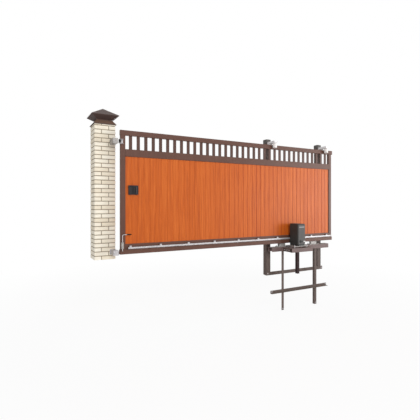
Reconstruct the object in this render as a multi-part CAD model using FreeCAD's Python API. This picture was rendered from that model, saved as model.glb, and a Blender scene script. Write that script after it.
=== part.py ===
import FreeCAD, Part
import math
import os

from FreeCAD import Vector

# Cantilever sliding driveway gate: one leaf on two roller carriages, driven by a rack and pinion.
# X runs along the gate to the right, Y away from the yard, Z up; origin at the middle of the pillar's base.

# Brick pillar and its folded sheet cap
pillar_side = 380.0
pillar_height = 2480.0
cap_sheet = 3.0
cap_lip_side = 408.0
cap_lip_edge = 8.0
cap_neck_side = 270.0
cap_neck_rise = 92.0
cap_eave_side = 490.0
cap_eave_rise = 163.0
cap_eave_edge = 10.0
cap_apex_height = 150.0
cap_base_opening = 240.0

# Gate leaf: overall size and the tubes of its frame
leaf_left = 235.0
driveway_width = 3510.0
leaf_tail = 1890.0
leaf_height = 2270.0
ground_clearance = 100.0
leaf_offset = 340.0
frame_depth = 60.0
frame_wall = 3.0
frame_corner = 5.0
stile_width = 90.0
top_rail_height = 95.0
top_rail_overhang = 30.0
middle_rail_height = 135.0
bottom_rail_height = 100.0
end_plug_thickness = 4.0

# Picket band above the middle rail and boarded panel below it
picket_band_height = 250.0
picket_count = 35
picket_width = 60.0
picket_depth = 20.0
picket_wall = 2.0
panel_thickness = 30.0

# Guide beam: a channel with inturned lips, open downward
beam_height = 85.0
beam_width = 95.0
beam_wall = 6.0
beam_slot = 40.0

# Gear rack on the bottom rail and its drive pinion
tooth_module = 4.0
root_depth_share = 1.25
pressure_angle = 20.0
tooth_backlash = 0.6
mesh_clearance = 1.0
rack_inset = 140.0
rack_sections = 5
rack_section_teeth = 83
rack_section_gap = 0.5
rack_height = 36.0
rack_thickness = 12.0
rack_lift = 7.0
rack_spacer_length = 22.0
rack_spacer_diameter = 22.0
rack_lug_margin = 44.0
rack_lug_tail = 145.0
rack_lug_shares = (0.0, 0.117, 0.234, 0.353, 0.472, 0.577, 0.686, 0.791, 0.896, 1.0)
rack_lug_width = 40.0
rack_lug_height = 28.0
pinion_teeth = 18
pinion_width = 18.0
pinion_beam_gap = 6.5
pinion_hub_diameter = 44.0
pinion_hub_length = 6.0
pinion_shaft_diameter = 24.0
pinion_shaft_length = 52.0
flank_steps = 5

# Guide posts behind the leaf
post_side = 120.0
post_wall = 4.0
post_spacing = 1636.0
post_bottom = -650.0
post_rise = 150.0
post_cap_overlap = 3.0
post_cap_height = 85.0
post_cap_peak = 12.0

# Guide rollers on both sides of the top rail and the brackets that carry them
guide_roller_diameter = 100.0
guide_roller_height = 100.0
guide_roller_drop = 70.0
guide_roller_edge = 4.0
guide_clearance = 1.0
guide_pin_diameter = 16.0
pin_clearance = 0.08
guide_arm_width = 90.0
guide_arm_thickness = 8.0
guide_arm_lift = 40.0
guide_arm_reach = 40.0
guide_flange_below = 65.0
guide_lip_height = 50.0
guide_flange_gap = 2.0
guide_pin_head_diameter = 28.0
guide_pin_head_height = 12.0

# Foundation: carriage channel, legs, cross bar and tie bar
channel_overlap = 10.0
channel_length = 1800.0
channel_top = 20.0
channel_height = 100.0
channel_width = 140.0
channel_wall = 6.0
angle_side = 65.0
angle_wall = 6.0
left_leg_inset = 313.0
right_leg_inset = 375.0
leg_bottom = -1460.0
cross_bar_shift = 20.0
cross_bar_length = 1770.0
cross_bar_bottom = -1035.0
tie_overhang = 44.0
tie_side = 80.0
post_link_side = 50.0
post_link_wall = 4.0
post_link_drop = 30.0

# Roller carriages between the channel and the guide beam
left_carriage_inset = 335.0
right_carriage_inset = 465.0
carriage_base_length = 300.0
carriage_base_width = 100.0
carriage_base_thickness = 10.0
pedestal_length = 180.0
pedestal_width = 60.0
pedestal_gap = 10.0
carriage_neck_length = 200.0
carriage_neck_width = 20.0
truck_length = 440.0
truck_width = 26.0
truck_height = 34.0
wheel_diameter = 46.0
wheel_width = 18.0
wheel_axle_diameter = 12.0
wheel_clearance = 0.5
wheel_rows = 4
wheel_pitch = 120.0

# Motor platform in front of the channel
platform_inset = 332.0
platform_length = 643.0
platform_front = 700.0
platform_top = 5.0
platform_channel_height = 90.0
platform_channel_depth = 45.0
platform_channel_wall = 5.0
bearer_width = 50.0
platform_leg_inset = 158.0
platform_leg_bottom = -570.0
base_plate_inset = 78.0
base_plate_length = 410.0
base_plate_thickness = 10.0
base_plate_top = 55.0
base_plate_gap = 5.0
stud_diameter = 12.0
stud_inset = 22.0

# Motor: cover on a foot, strip and release knob
motor_inset = 115.0
motor_width = 225.0
motor_front_inset = 10.0
motor_depth = 250.0
motor_height = 502.0
motor_corner = 34.0
motor_edge = 10.0
motor_foot_height = 28.0
motor_foot_margin = 6.0
shaft_clearance = 0.08
strip_inset = 36.0
strip_height = 22.0
strip_drop = 84.0
strip_thickness = 3.0
knob_diameter = 50.0
knob_height = 14.0
knob_lift = 102.0
knob_inset = 148.0
knob_lever_length = 118.0
knob_lever_width = 14.0

# Lock plate with a hand recess and a grip
plate_inset = 145.0
plate_width = 186.0
plate_height = 172.0
plate_bottom = 1190.0
plate_thickness = 22.0
plate_corner = 8.0
recess_margin = 16.0
recess_width = 74.0
recess_depth = 14.0
grip_diameter = 18.0
grip_length = 130.0
grip_standoff = 24.0
grip_foot_share = 0.75

# Drop bolt on the left stile
bolt_diameter = 14.0
bolt_bore_clearance = 0.08
bolt_inset = 28.0
bolt_standoff = 30.0
bolt_tip = 160.0
bolt_handle_height = 460.0
bolt_bend = 25.0
bolt_handle_length = 136.0
bolt_grip_diameter = 22.0
bolt_grip_length = 80.0
bolt_housing_bottom = 205.0
bolt_housing_height = 115.0
bolt_housing_width = 40.0

# Upper end roller on the left stile and its catcher on the pillar
end_roller_diameter = 46.0
end_roller_height = 60.0
end_roller_gap = 5.0
end_roller_left = 193.0
end_roller_centre = 2156.0
end_pin_diameter = 10.0
end_ear_thickness = 5.0
end_ear_gap = 2.0
end_plate_width = 44.0
end_plate_margin = 14.0
end_plate_thickness = 5.0
catcher_sheet = 6.0
catcher_length = 90.0
catcher_height = 92.0
catcher_mouth_gap = 20.0
catcher_jaw_gap = 9.0
catcher_flange_width = 104.0

# Lower end roller at the beam's left end and its catcher
low_roller_diameter = 60.0
low_roller_width = 40.0
low_roller_reach = 40.0
low_fork_thickness = 6.0
low_fork_gap = 5.0
low_fork_height = 50.0
low_catcher_length = 96.0
low_catcher_height = 94.0
low_catcher_bottom = 88.0
low_catcher_side_gap = 12.0
low_catcher_floor_gap = 0.25
low_catcher_mouth = 34.0

# How near two places or directions count as the same
same_place = 0.1
same_way = 0.999

# Values that follow from the sizes above
pillar_half = pillar_side / 2.0
pillar_face = -pillar_half
leaf_right = leaf_left + driveway_width + leaf_tail
leaf_front = -leaf_offset - frame_depth / 2.0
leaf_back = -leaf_offset + frame_depth / 2.0
leaf_top = ground_clearance + leaf_height
beam_front = -leaf_offset - beam_width / 2.0
beam_back = -leaf_offset + beam_width / 2.0
beam_top = ground_clearance + beam_height
bottom_rail_top = beam_top + bottom_rail_height
top_rail_bottom = leaf_top - top_rail_height
middle_rail_top = top_rail_bottom - picket_band_height
middle_rail_bottom = middle_rail_top - middle_rail_height
left_stile_right = leaf_left + stile_width
right_stile_left = leaf_right - stile_width
tooth_pitch = math.pi * tooth_module
pinion_radius = tooth_module * pinion_teeth / 2.0
rack_tip = beam_top + rack_lift
rack_top = rack_tip + rack_height
rack_back = leaf_front - rack_spacer_length
rack_front = rack_back - rack_thickness
shaft_height = rack_tip + tooth_module - pinion_radius - mesh_clearance
pinion_back = beam_front - pinion_beam_gap
pinion_front = pinion_back - pinion_width
channel_front = -leaf_offset - channel_width / 2.0
channel_back = -leaf_offset + channel_width / 2.0
channel_bottom = channel_top - channel_height
post_front = pillar_face
post_lefts = {"left": pillar_half + driveway_width, "right": pillar_half + driveway_width + post_spacing}
post_top = leaf_top + post_rise
channel_left = post_lefts["left"] - channel_overlap
channel_right = channel_left + channel_length
platform_left = channel_left + platform_inset
base_plate_left = platform_left + base_plate_inset
motor_left = base_plate_left + motor_inset
motor_front = platform_front - motor_front_inset
motor_back = -motor_front + motor_depth
shaft_left = motor_left + motor_width / 2.0


def block(x, y, z):
    """Return a box from pairs of limits along X, Y and Z."""
    corner = Vector(min(x), min(y), min(z))
    return Part.makeBox(abs(x[1] - x[0]), abs(y[1] - y[0]), abs(z[1] - z[0]), corner)


def rod(diameter, start, end):
    """Return a round bar between two points."""
    way = end.sub(start)
    return Part.makeCylinder(diameter / 2.0, way.Length, start, way)


def inset(limits, amount):
    """Return a pair of limits drawn in by an amount at both ends."""
    return (min(limits) + amount, max(limits) - amount)


def centred(middle, size):
    """Return a pair of limits of a given size about a middle."""
    return (middle - size / 2.0, middle + size / 2.0)


def edges_along(shape, axis):
    """Return the straight edges of a shape that run along an axis."""
    found = []
    for edge in shape.Edges:
        run = edge.Vertexes[-1].Point.sub(edge.Vertexes[0].Point)
        if run.Length > 0 and abs(run.dot(axis)) > same_way * run.Length:
            found.append(edge)
    return found


def tube(x, y, z, axis, wall, corner=0.0):
    """Return a rectangular tube, open at both ends, along the named axis."""
    outer = block(x, y, z)
    way = {"x": Vector(1, 0, 0), "y": Vector(0, 1, 0), "z": Vector(0, 0, 1)}[axis]
    if corner > 0:
        outer = outer.makeFillet(corner, edges_along(outer, way))
    inner = block(
        x if axis == "x" else inset(x, wall),
        y if axis == "y" else inset(y, wall),
        z if axis == "z" else inset(z, wall),
    )
    return outer.cut(inner)


def square_at(side, height):
    """Return the corners of a square on the pillar's axis at a height, counter-clockwise."""
    half = side / 2.0
    return [Vector(x, y, height) for x, y in ((-half, -half), (half, -half), (half, half), (-half, half))]


def frustum(low_side, high_side, low, high):
    """Return a square frustum on the pillar's axis between two heights."""
    foot = square_at(low_side, low)
    head = square_at(high_side, high)
    rings = [foot, head]
    for number in range(4):
        after = (number + 1) % 4
        rings.append([foot[number], foot[after], head[after], head[number]])
    faces = [Part.Face(Part.makePolygon(ring + ring[:1])) for ring in rings]
    return Part.makeSolid(Part.makeShell(faces))


def profile_along_x(points, left, length):
    """Return a bar along X whose section is a closed polygon of (y, z) points."""
    ring = [Vector(left, y, z) for y, z in points]
    face = Part.Face(Part.makePolygon(ring + ring[:1]))
    return face.extrude(Vector(length, 0, 0))


def cap_hood(shrink):
    """Return the outline of the cap's skirt, soffit and roof, drawn in sideways by an amount."""
    lip_top = pillar_height + cap_lip_edge
    neck = pillar_height + cap_neck_rise
    eave = pillar_height + cap_eave_rise
    roof_foot = eave + cap_eave_edge
    roof_top = roof_foot + cap_apex_height * (1.0 - 2 * shrink / cap_eave_side)
    lip_side = cap_lip_side - 2 * shrink
    neck_side = cap_neck_side - 2 * shrink
    eave_side = cap_eave_side - 2 * shrink
    lip = frustum(lip_side, lip_side, pillar_height, lip_top)
    skirt = frustum(lip_side, neck_side, lip_top, neck)
    soffit = frustum(neck_side, eave_side, neck, eave)
    edge = frustum(eave_side, eave_side, eave, roof_foot)
    roof = frustum(eave_side, cap_sheet, roof_foot, roof_top)
    return lip.fuse([skirt, soffit, edge, roof]).removeSplitter()


def make_pillar():
    """Return the brick pillar and its hollow sheet cap, which sits on the bricks by a base ring."""
    sides = (-pillar_half, pillar_half)
    shaft = block(sides, sides, (0.0, pillar_height))
    base_z = (pillar_height, pillar_height + cap_sheet)
    base = frustum(cap_lip_side, cap_lip_side, *base_z)
    base = base.cut(frustum(cap_base_opening, cap_base_opening, *base_z))
    cap = cap_hood(0.0).cut(cap_hood(2 * cap_sheet)).fuse(base).removeSplitter()
    return {"pillar": shaft, "pillar_cap": cap}


def leaf_rail(span, low, high):
    """Return one level tube of the leaf's frame."""
    return tube(span, (leaf_front, leaf_back), (low, high), "x", frame_wall, frame_corner)


def make_leaf_frame():
    """Return the tubes of the leaf's frame, its pickets, panel and end plugs."""
    depth = (leaf_front, leaf_back)
    top_span = (leaf_left, leaf_right + top_rail_overhang)
    inner_span = (left_stile_right, right_stile_left)
    nodes = {
        "top_rail": leaf_rail(top_span, top_rail_bottom, leaf_top),
        "middle_rail": leaf_rail(inner_span, middle_rail_bottom, middle_rail_top),
        "bottom_rail": leaf_rail(inner_span, beam_top, bottom_rail_top),
    }
    stile_spans = ((leaf_left, left_stile_right), (right_stile_left, leaf_right))
    stile_z = (beam_top, top_rail_bottom)
    stiles = [tube(span, depth, stile_z, "z", frame_wall, frame_corner) for span in stile_spans]
    nodes["stiles"] = Part.makeCompound(stiles)
    panel_depth = centred(-leaf_offset, panel_thickness)
    nodes["infill_panel"] = block(inner_span, panel_depth, (bottom_rail_top, middle_rail_bottom))
    picket_pitch = (right_stile_left - left_stile_right + stile_width) / (picket_count + 1)
    picket_faces = centred(-leaf_offset, picket_depth)
    pickets = []
    for number in range(1, picket_count + 1):
        middle = leaf_left + stile_width / 2.0 + number * picket_pitch
        sides = centred(middle, picket_width)
        pickets.append(tube(sides, picket_faces, (middle_rail_top, top_rail_bottom), "z", picket_wall))
    nodes["pickets"] = Part.makeCompound(pickets)
    top_plug = (top_rail_bottom, leaf_top)
    beam_depth = (beam_front, beam_back)
    plugs = [
        block((leaf_left - end_plug_thickness, leaf_left), depth, top_plug),
        block((top_span[1], top_span[1] + end_plug_thickness), depth, top_plug),
        block((leaf_right, leaf_right + end_plug_thickness), beam_depth, (ground_clearance, beam_top)),
    ]
    nodes["end_plugs"] = Part.makeCompound(plugs)
    return nodes


def make_guide_beam():
    """Return the guide beam: a tube with a slot along its underside for the carriages."""
    span = (leaf_left, leaf_right)
    body = tube(span, (beam_front, beam_back), (ground_clearance, beam_top), "x", beam_wall, frame_corner)
    slot = block(span, centred(-leaf_offset, beam_slot), (ground_clearance, ground_clearance + beam_wall))
    return {"guide_beam": body.cut(slot)}


def rack_start():
    """Return the rack's left end, set so that a tooth space stands over the pinion's axis."""
    teeth_to_pinion = round((shaft_left - leaf_left - rack_inset) / tooth_pitch)
    return shaft_left - teeth_to_pinion * tooth_pitch


def rack_section(left):
    """Return one toothed length of the rack, with its teeth pointing down."""
    slope = math.tan(math.radians(pressure_angle))
    pitch_line = rack_tip + tooth_module
    root = pitch_line + root_depth_share * tooth_module
    half_tooth = tooth_pitch / 4.0 - tooth_backlash / 2.0
    half_tip = half_tooth - tooth_module * slope
    half_root = half_tooth + root_depth_share * tooth_module * slope
    length = rack_section_teeth * tooth_pitch - rack_section_gap
    points = [Vector(left, rack_back, root)]
    for number in range(rack_section_teeth):
        middle = left + (number + 0.5) * tooth_pitch
        points.append(Vector(middle - half_root, rack_back, root))
        points.append(Vector(middle - half_tip, rack_back, rack_tip))
        points.append(Vector(middle + half_tip, rack_back, rack_tip))
        points.append(Vector(middle + half_root, rack_back, root))
    points.append(Vector(left + length, rack_back, root))
    points.append(Vector(left + length, rack_back, rack_top))
    points.append(Vector(left, rack_back, rack_top))
    face = Part.Face(Part.makePolygon(points + points[:1]))
    return face.extrude(Vector(0, rack_front - rack_back, 0))


def make_rack():
    """Return the rack's sections with their fixing lugs, and the spacers behind the lugs."""
    section_length = rack_section_teeth * tooth_pitch
    sections = [rack_section(rack_start() + number * section_length) for number in range(rack_sections)]
    spacers = []
    lug_height = rack_top + rack_lug_height / 2.0
    lug_run = rack_sections * section_length - rack_lug_margin - rack_lug_tail
    for share in rack_lug_shares:
        middle = rack_start() + rack_lug_margin + share * lug_run
        place = min(int((middle - rack_start()) // section_length), rack_sections - 1)
        lug = block(
            centred(middle, rack_lug_width),
            (rack_front, rack_back),
            (rack_top, rack_top + rack_lug_height),
        )
        sections[place] = sections[place].fuse(lug).removeSplitter()
        spacer_ends = [Vector(middle, y, lug_height) for y in (leaf_front, rack_back)]
        spacers.append(rod(rack_spacer_diameter, *spacer_ends))
    return {"gear_rack": Part.makeCompound(sections), "rack_spacers": Part.makeCompound(spacers)}


def on_circle(radius, turn):
    """Return a point at a radius, turned by an angle from straight up about the Y axis."""
    return Vector(radius * math.sin(turn), 0, radius * math.cos(turn))


def involute_flank(base_radius, tip_radius, half_angle, side):
    """Return one flank of an upright pinion tooth as a curve from its base to its tip."""
    points = []
    last = math.sqrt((tip_radius / base_radius) ** 2 - 1.0)
    for step in range(flank_steps):
        roll = last * step / (flank_steps - 1)
        radius = base_radius * math.sqrt(1.0 + roll * roll)
        turn = side * (half_angle - (roll - math.atan(roll)))
        points.append(on_circle(radius, turn))
    return points


def make_pinion():
    """Return the pinion with involute teeth, one of them upright, on its hub and shaft."""
    angle = math.radians(pressure_angle)
    base_radius = pinion_radius * math.cos(angle)
    tip_radius = pinion_radius + tooth_module
    root_radius = pinion_radius - root_depth_share * tooth_module
    half_angle = math.pi / (2 * pinion_teeth) - tooth_backlash / (2 * pinion_radius) + math.tan(angle) - angle
    tooth_angle = 2 * math.pi / pinion_teeth
    foot_turns = (-half_angle, half_angle, tooth_angle / 2.0, tooth_angle - half_angle)
    left_foot, right_foot, between, next_foot = [on_circle(root_radius, turn) for turn in foot_turns]
    left_points = involute_flank(base_radius, tip_radius, half_angle, -1)
    right_points = involute_flank(base_radius, tip_radius, half_angle, 1)
    left_flank = Part.BSplineCurve()
    left_flank.interpolate(left_points)
    right_flank = Part.BSplineCurve()
    right_flank.interpolate(right_points)
    tooth = [
        Part.makeLine(left_foot, left_points[0]),
        left_flank.toShape(),
        Part.Arc(left_points[-1], Vector(0, 0, tip_radius), right_points[-1]).toShape(),
        right_flank.toShape(),
        Part.makeLine(right_points[0], right_foot),
        Part.Arc(right_foot, between, next_foot).toShape(),
    ]
    edges = []
    for number in range(pinion_teeth):
        for edge in tooth:
            turned = edge.copy()
            turned.rotate(Vector(0, 0, 0), Vector(0, 1, 0), math.degrees(number * tooth_angle))
            edges.append(turned)
    outline = Part.Wire(Part.__sortEdges__(edges))
    gear = Part.Face(outline).extrude(Vector(0, pinion_width, 0))
    gear.translate(Vector(shaft_left, pinion_front, shaft_height))
    hub_front = pinion_front - pinion_hub_length
    shaft_end = hub_front - pinion_shaft_length
    hub = rod(pinion_hub_diameter, *[Vector(shaft_left, y, shaft_height) for y in (pinion_front, hub_front)])
    shaft = rod(pinion_shaft_diameter, *[Vector(shaft_left, y, shaft_height) for y in (hub_front, shaft_end)])
    return {"pinion": gear.fuse([hub, shaft]).removeSplitter()}


def make_posts():
    """Return the two guide posts and their caps."""
    posts = []
    caps = []
    for left in post_lefts.values():
        x = (left, left + post_side)
        y = (post_front, post_front + post_side)
        posts.append(tube(x, y, (post_bottom, post_top), "z", post_wall, frame_corner))
        cap_x = inset(x, -post_cap_overlap)
        cap_y = inset(y, -post_cap_overlap)
        cap_top = post_top + post_cap_overlap
        sleeve = block(cap_x, cap_y, (post_top - post_cap_height, cap_top))
        middle = Vector(left + post_side / 2.0, post_front + post_side / 2.0, 0)
        roof = frustum(post_side + 2 * post_cap_overlap, post_side / 2.0, cap_top, cap_top + post_cap_peak)
        roof.translate(middle)
        hollow = block(x, y, (post_top - post_cap_height, post_top))
        caps.append(sleeve.fuse(roof).cut(hollow).removeSplitter())
    return {"posts": Part.makeCompound(posts), "post_caps": Part.makeCompound(caps)}


def guide_pins():
    """Return the Y of the near and far guide rollers' axes."""
    reach = guide_clearance + guide_roller_diameter / 2.0
    return {"near": leaf_front - reach, "far": leaf_back + reach}


def make_guides():
    """Return each post's guide bracket with its pins, and the rollers that turn on them."""
    nodes = {}
    brackets = []
    arm_low = leaf_top + guide_arm_lift
    arm_high = arm_low + guide_arm_thickness
    lip_high = arm_low + guide_lip_height
    roller_low = leaf_top - guide_roller_drop
    roller_high = roller_low + guide_roller_height
    arm_front = guide_pins()["near"] - guide_arm_reach
    flange_high = post_top - post_cap_height - guide_flange_gap
    for side, left in post_lefts.items():
        middle = left + post_side / 2.0
        x = centred(middle, guide_arm_width)
        flange_back = (post_front - guide_arm_thickness, post_front)
        flange = block(x, flange_back, (arm_low - guide_flange_below, flange_high))
        arm = block(x, (arm_front, post_front), (arm_low, arm_high))
        tray = block(x, (arm_front, flange_back[0]), (arm_low, lip_high))
        inside_y = (arm_front + guide_arm_thickness, flange_back[0])
        inside = block(inset(x, guide_arm_thickness), inside_y, (arm_high, lip_high))
        pieces = [arm, tray.cut(inside)]
        for place, y in guide_pins().items():
            pin_top = arm_high + guide_pin_head_height
            low, high = Vector(middle, y, roller_low), Vector(middle, y, roller_high)
            arm_face = Vector(middle, y, arm_high)
            pieces.append(rod(guide_pin_diameter, low, arm_face))
            pieces.append(rod(guide_pin_head_diameter, arm_face, Vector(middle, y, pin_top)))
            barrel = rod(guide_roller_diameter, low, high)
            rims = [edge for edge in barrel.Edges if edge.Closed]
            barrel = barrel.makeChamfer(guide_roller_edge, rims)
            bore = rod(guide_pin_diameter + 2 * pin_clearance, low, high)
            nodes[side + "_" + place + "_guide_roller"] = barrel.cut(bore)
        brackets.append(flange.fuse(pieces).removeSplitter())
    nodes["guide_brackets"] = Part.makeCompound(brackets)
    return nodes


def angle_bar_upright(corner_x, corner_y, bottom, top, turn_x):
    """Return an upright angle bar whose outer corner is at the front, with a flange running back."""
    z = (bottom, top)
    flange = block((corner_x, corner_x + turn_x * angle_side), (corner_y, corner_y + angle_wall), z)
    web = block((corner_x, corner_x + turn_x * angle_wall), (corner_y, corner_y + angle_side), z)
    return flange.fuse(web).removeSplitter()


def make_foundation():
    """Return the buried frame: channel, legs, cross bar, tie bar and links to the posts."""
    body = block((channel_left, channel_right), (channel_front, channel_back), (channel_bottom, channel_top))
    inside = block(
        (channel_left, channel_right),
        inset((channel_front, channel_back), channel_wall),
        (channel_bottom, channel_top - channel_wall),
    )
    nodes = {"carriage_channel": body.cut(inside)}
    leg_top = channel_top - channel_wall
    leg_front = -leaf_offset - angle_side / 2.0
    left_corner = channel_left + left_leg_inset + angle_side
    right_corner = channel_right - right_leg_inset - angle_side
    corners = ((left_corner, -1), (right_corner, 1))
    legs = [angle_bar_upright(corner_x, leg_front, leg_bottom, leg_top, turn) for corner_x, turn in corners]
    nodes["legs"] = Part.makeCompound(legs)
    bar_top = cross_bar_bottom + angle_side
    bar_section = (
        (leg_front, cross_bar_bottom),
        (leg_front, bar_top),
        (leg_front - angle_wall, bar_top),
        (leg_front - angle_wall, cross_bar_bottom + angle_wall),
        (leg_front - angle_side, cross_bar_bottom + angle_wall),
        (leg_front - angle_side, cross_bar_bottom),
    )
    nodes["cross_bar"] = profile_along_x(bar_section, channel_left - cross_bar_shift, cross_bar_length)
    tie_low = post_bottom - angle_wall
    tie_section = (
        (post_front - angle_wall, tie_low),
        (post_front - angle_wall + tie_side, tie_low),
        (post_front - angle_wall + tie_side, post_bottom),
        (post_front, post_bottom),
        (post_front, tie_low + tie_side),
        (post_front - angle_wall, tie_low + tie_side),
    )
    tie_length = post_spacing + post_side + tie_overhang
    nodes["post_tie"] = profile_along_x(tie_section, post_lefts["left"], tie_length)
    link_top = channel_top - post_link_drop
    links = []
    link_depth = (channel_back, post_front)
    for left in post_lefts.values():
        middle = left + post_side / 2.0
        x = centred(middle, post_link_side)
        links.append(tube(x, link_depth, (link_top - post_link_side, link_top), "y", post_link_wall))
    nodes["post_links"] = Part.makeCompound(links)
    return nodes


def make_carriages():
    """Return the two roller carriages and their wheels, which stand inside the guide beam."""
    carriages = []
    wheels = []
    base_top = channel_top + carriage_base_thickness
    pedestal_top = ground_clearance - pedestal_gap
    axle_height = ground_clearance + beam_wall + wheel_clearance + wheel_diameter / 2.0
    truck_z = centred(axle_height, truck_height)
    base_y = centred(-leaf_offset, carriage_base_width)
    pedestal_y = centred(-leaf_offset, pedestal_width)
    neck_y = centred(-leaf_offset, carriage_neck_width)
    truck_y = centred(-leaf_offset, truck_width)
    axle_y = inset(truck_y, -wheel_width)
    for middle in (channel_left + left_carriage_inset, channel_right - right_carriage_inset):
        base = block(centred(middle, carriage_base_length), base_y, (channel_top, base_top))
        body = base.fuse([
            block(centred(middle, pedestal_length), pedestal_y, (base_top, pedestal_top)),
            block(centred(middle, carriage_neck_length), neck_y, (pedestal_top, truck_z[1])),
            block(centred(middle, truck_length), truck_y, truck_z),
        ])
        for number in range(wheel_rows):
            x = middle + (number - (wheel_rows - 1) / 2.0) * wheel_pitch
            axle = rod(wheel_axle_diameter, *[Vector(x, y, axle_height) for y in axle_y])
            body = body.fuse(axle)
            for inner, outer in zip(truck_y, axle_y):
                wheel = rod(wheel_diameter, Vector(x, inner, axle_height), Vector(x, outer, axle_height))
                wheels.append(wheel.cut(axle))
        carriages.append(body.removeSplitter())
    return {"carriages": Part.makeCompound(carriages), "carriage_wheels": Part.makeCompound(wheels)}


def make_platform():
    """Return the motor's platform: front channel, bearers, leg and raised base plate."""
    platform_right = platform_left + platform_length
    bottom = platform_top - platform_channel_height
    web_back = -platform_front + platform_channel_wall
    channel_rear = -platform_front + platform_channel_depth
    section = (
        (-platform_front, bottom),
        (channel_rear, bottom),
        (channel_rear, bottom + platform_channel_wall),
        (web_back, bottom + platform_channel_wall),
        (web_back, platform_top - platform_channel_wall),
        (channel_rear, platform_top - platform_channel_wall),
        (channel_rear, platform_top),
        (-platform_front, platform_top),
    )
    nodes = {"platform_channel": profile_along_x(section, platform_left, platform_length)}
    bearers = []
    bearer_depth = (channel_rear, channel_front)
    bearer_z = (channel_bottom, platform_top)
    for left in (platform_left, platform_right - bearer_width):
        bearers.append(tube((left, left + bearer_width), bearer_depth, bearer_z, "y", post_link_wall))
    nodes["platform_bearers"] = Part.makeCompound(bearers)
    nodes["platform_leg"] = angle_bar_upright(
        platform_left + platform_leg_inset, -platform_front, platform_leg_bottom, bottom, 1
    )
    plate_x = (base_plate_left, base_plate_left + base_plate_length)
    plate_back = -leaf_offset - carriage_base_width / 2.0 - base_plate_gap
    plate_low = base_plate_top - base_plate_thickness
    plate = block(plate_x, (-platform_front, plate_back), (plate_low, base_plate_top))
    studs = []
    for x in inset(plate_x, stud_inset):
        front = -platform_front + stud_inset
        back = (channel_front + plate_back) / 2.0
        studs.append(rod(stud_diameter, Vector(x, front, platform_top), Vector(x, front, base_plate_top)))
        studs.append(rod(stud_diameter, Vector(x, back, channel_top), Vector(x, back, base_plate_top)))
    nodes["motor_base_plate"] = plate.fuse(studs).removeSplitter()
    return nodes


def make_motor():
    """Return the motor: rounded cover on a foot, plain strip and release knob."""
    x = (motor_left, motor_left + motor_width)
    y = (-motor_front, motor_back)
    up = Vector(0, 0, 1)
    top = base_plate_top + motor_height
    cover = block(x, y, (base_plate_top + motor_foot_height, top))
    cover = cover.makeFillet(motor_corner, edges_along(cover, up))
    rim = [edge for edge in cover.Edges if all(abs(point.Z - top) < same_place for point in edge.Vertexes)]
    cover = cover.makeFillet(motor_edge, rim)
    foot = block(inset(x, motor_foot_margin), inset(y, motor_foot_margin), (base_plate_top, top))
    foot = foot.makeFillet(motor_corner, edges_along(foot, up))
    body = cover.fuse(foot.common(block(x, y, (base_plate_top, top - motor_corner))))
    hub_front = pinion_front - pinion_hub_length
    bore_size = pinion_shaft_diameter + 2 * shaft_clearance
    bore_end = hub_front - pinion_shaft_length - shaft_clearance
    bore = rod(bore_size, *[Vector(shaft_left, y, shaft_height) for y in (motor_back, bore_end)])
    strip_top = top - strip_drop + strip_height
    strip_depth = (-motor_front - strip_thickness, -motor_front)
    strip = block(inset(x, strip_inset), strip_depth, (strip_top - strip_height, strip_top))
    knob_middle = motor_left + motor_width - knob_inset
    knob_axis = base_plate_top + knob_lift
    knob_face = -motor_front - knob_height
    knob = rod(knob_diameter, *[Vector(knob_middle, y, knob_axis) for y in (-motor_front, knob_face)])
    lever = block(
        (knob_middle, knob_middle + knob_lever_length),
        (knob_face - knob_lever_width, knob_face),
        (knob_axis - knob_lever_width / 2.0, knob_axis + knob_lever_width / 2.0),
    )
    return {
        "motor_housing": body.cut(bore).removeSplitter(),
        "motor_strip": strip,
        "release_knob": knob.fuse(lever).removeSplitter(),
    }


def make_lock_plate():
    """Return the lock plate with its hand recess, and the upright grip beside the recess."""
    panel_front = -leaf_offset - panel_thickness / 2.0
    left = leaf_left + plate_inset
    face = panel_front - plate_thickness
    z = (plate_bottom, plate_bottom + plate_height)
    plate = block((left, left + plate_width), (face, panel_front), z)
    plate = plate.makeFillet(plate_corner, edges_along(plate, Vector(0, 1, 0)))
    recess_x = (left + recess_margin, left + recess_margin + recess_width)
    recess = block(recess_x, (face, face + recess_depth), inset(z, recess_margin))
    grip_x = left + recess_margin + recess_width + (plate_width - recess_margin - recess_width) / 2.0
    grip_low = plate_bottom + (plate_height - grip_length) / 2.0
    grip_y = face - grip_standoff
    bar = rod(grip_diameter, Vector(grip_x, grip_y, grip_low), Vector(grip_x, grip_y, grip_low + grip_length))
    foot_diameter = grip_diameter * grip_foot_share
    feet = []
    for height in inset((grip_low, grip_low + grip_length), grip_diameter):
        feet.append(rod(foot_diameter, Vector(grip_x, face, height), Vector(grip_x, grip_y, height)))
    return {"lock_plate": plate.cut(recess), "lock_grip": bar.fuse(feet).removeSplitter()}


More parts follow.
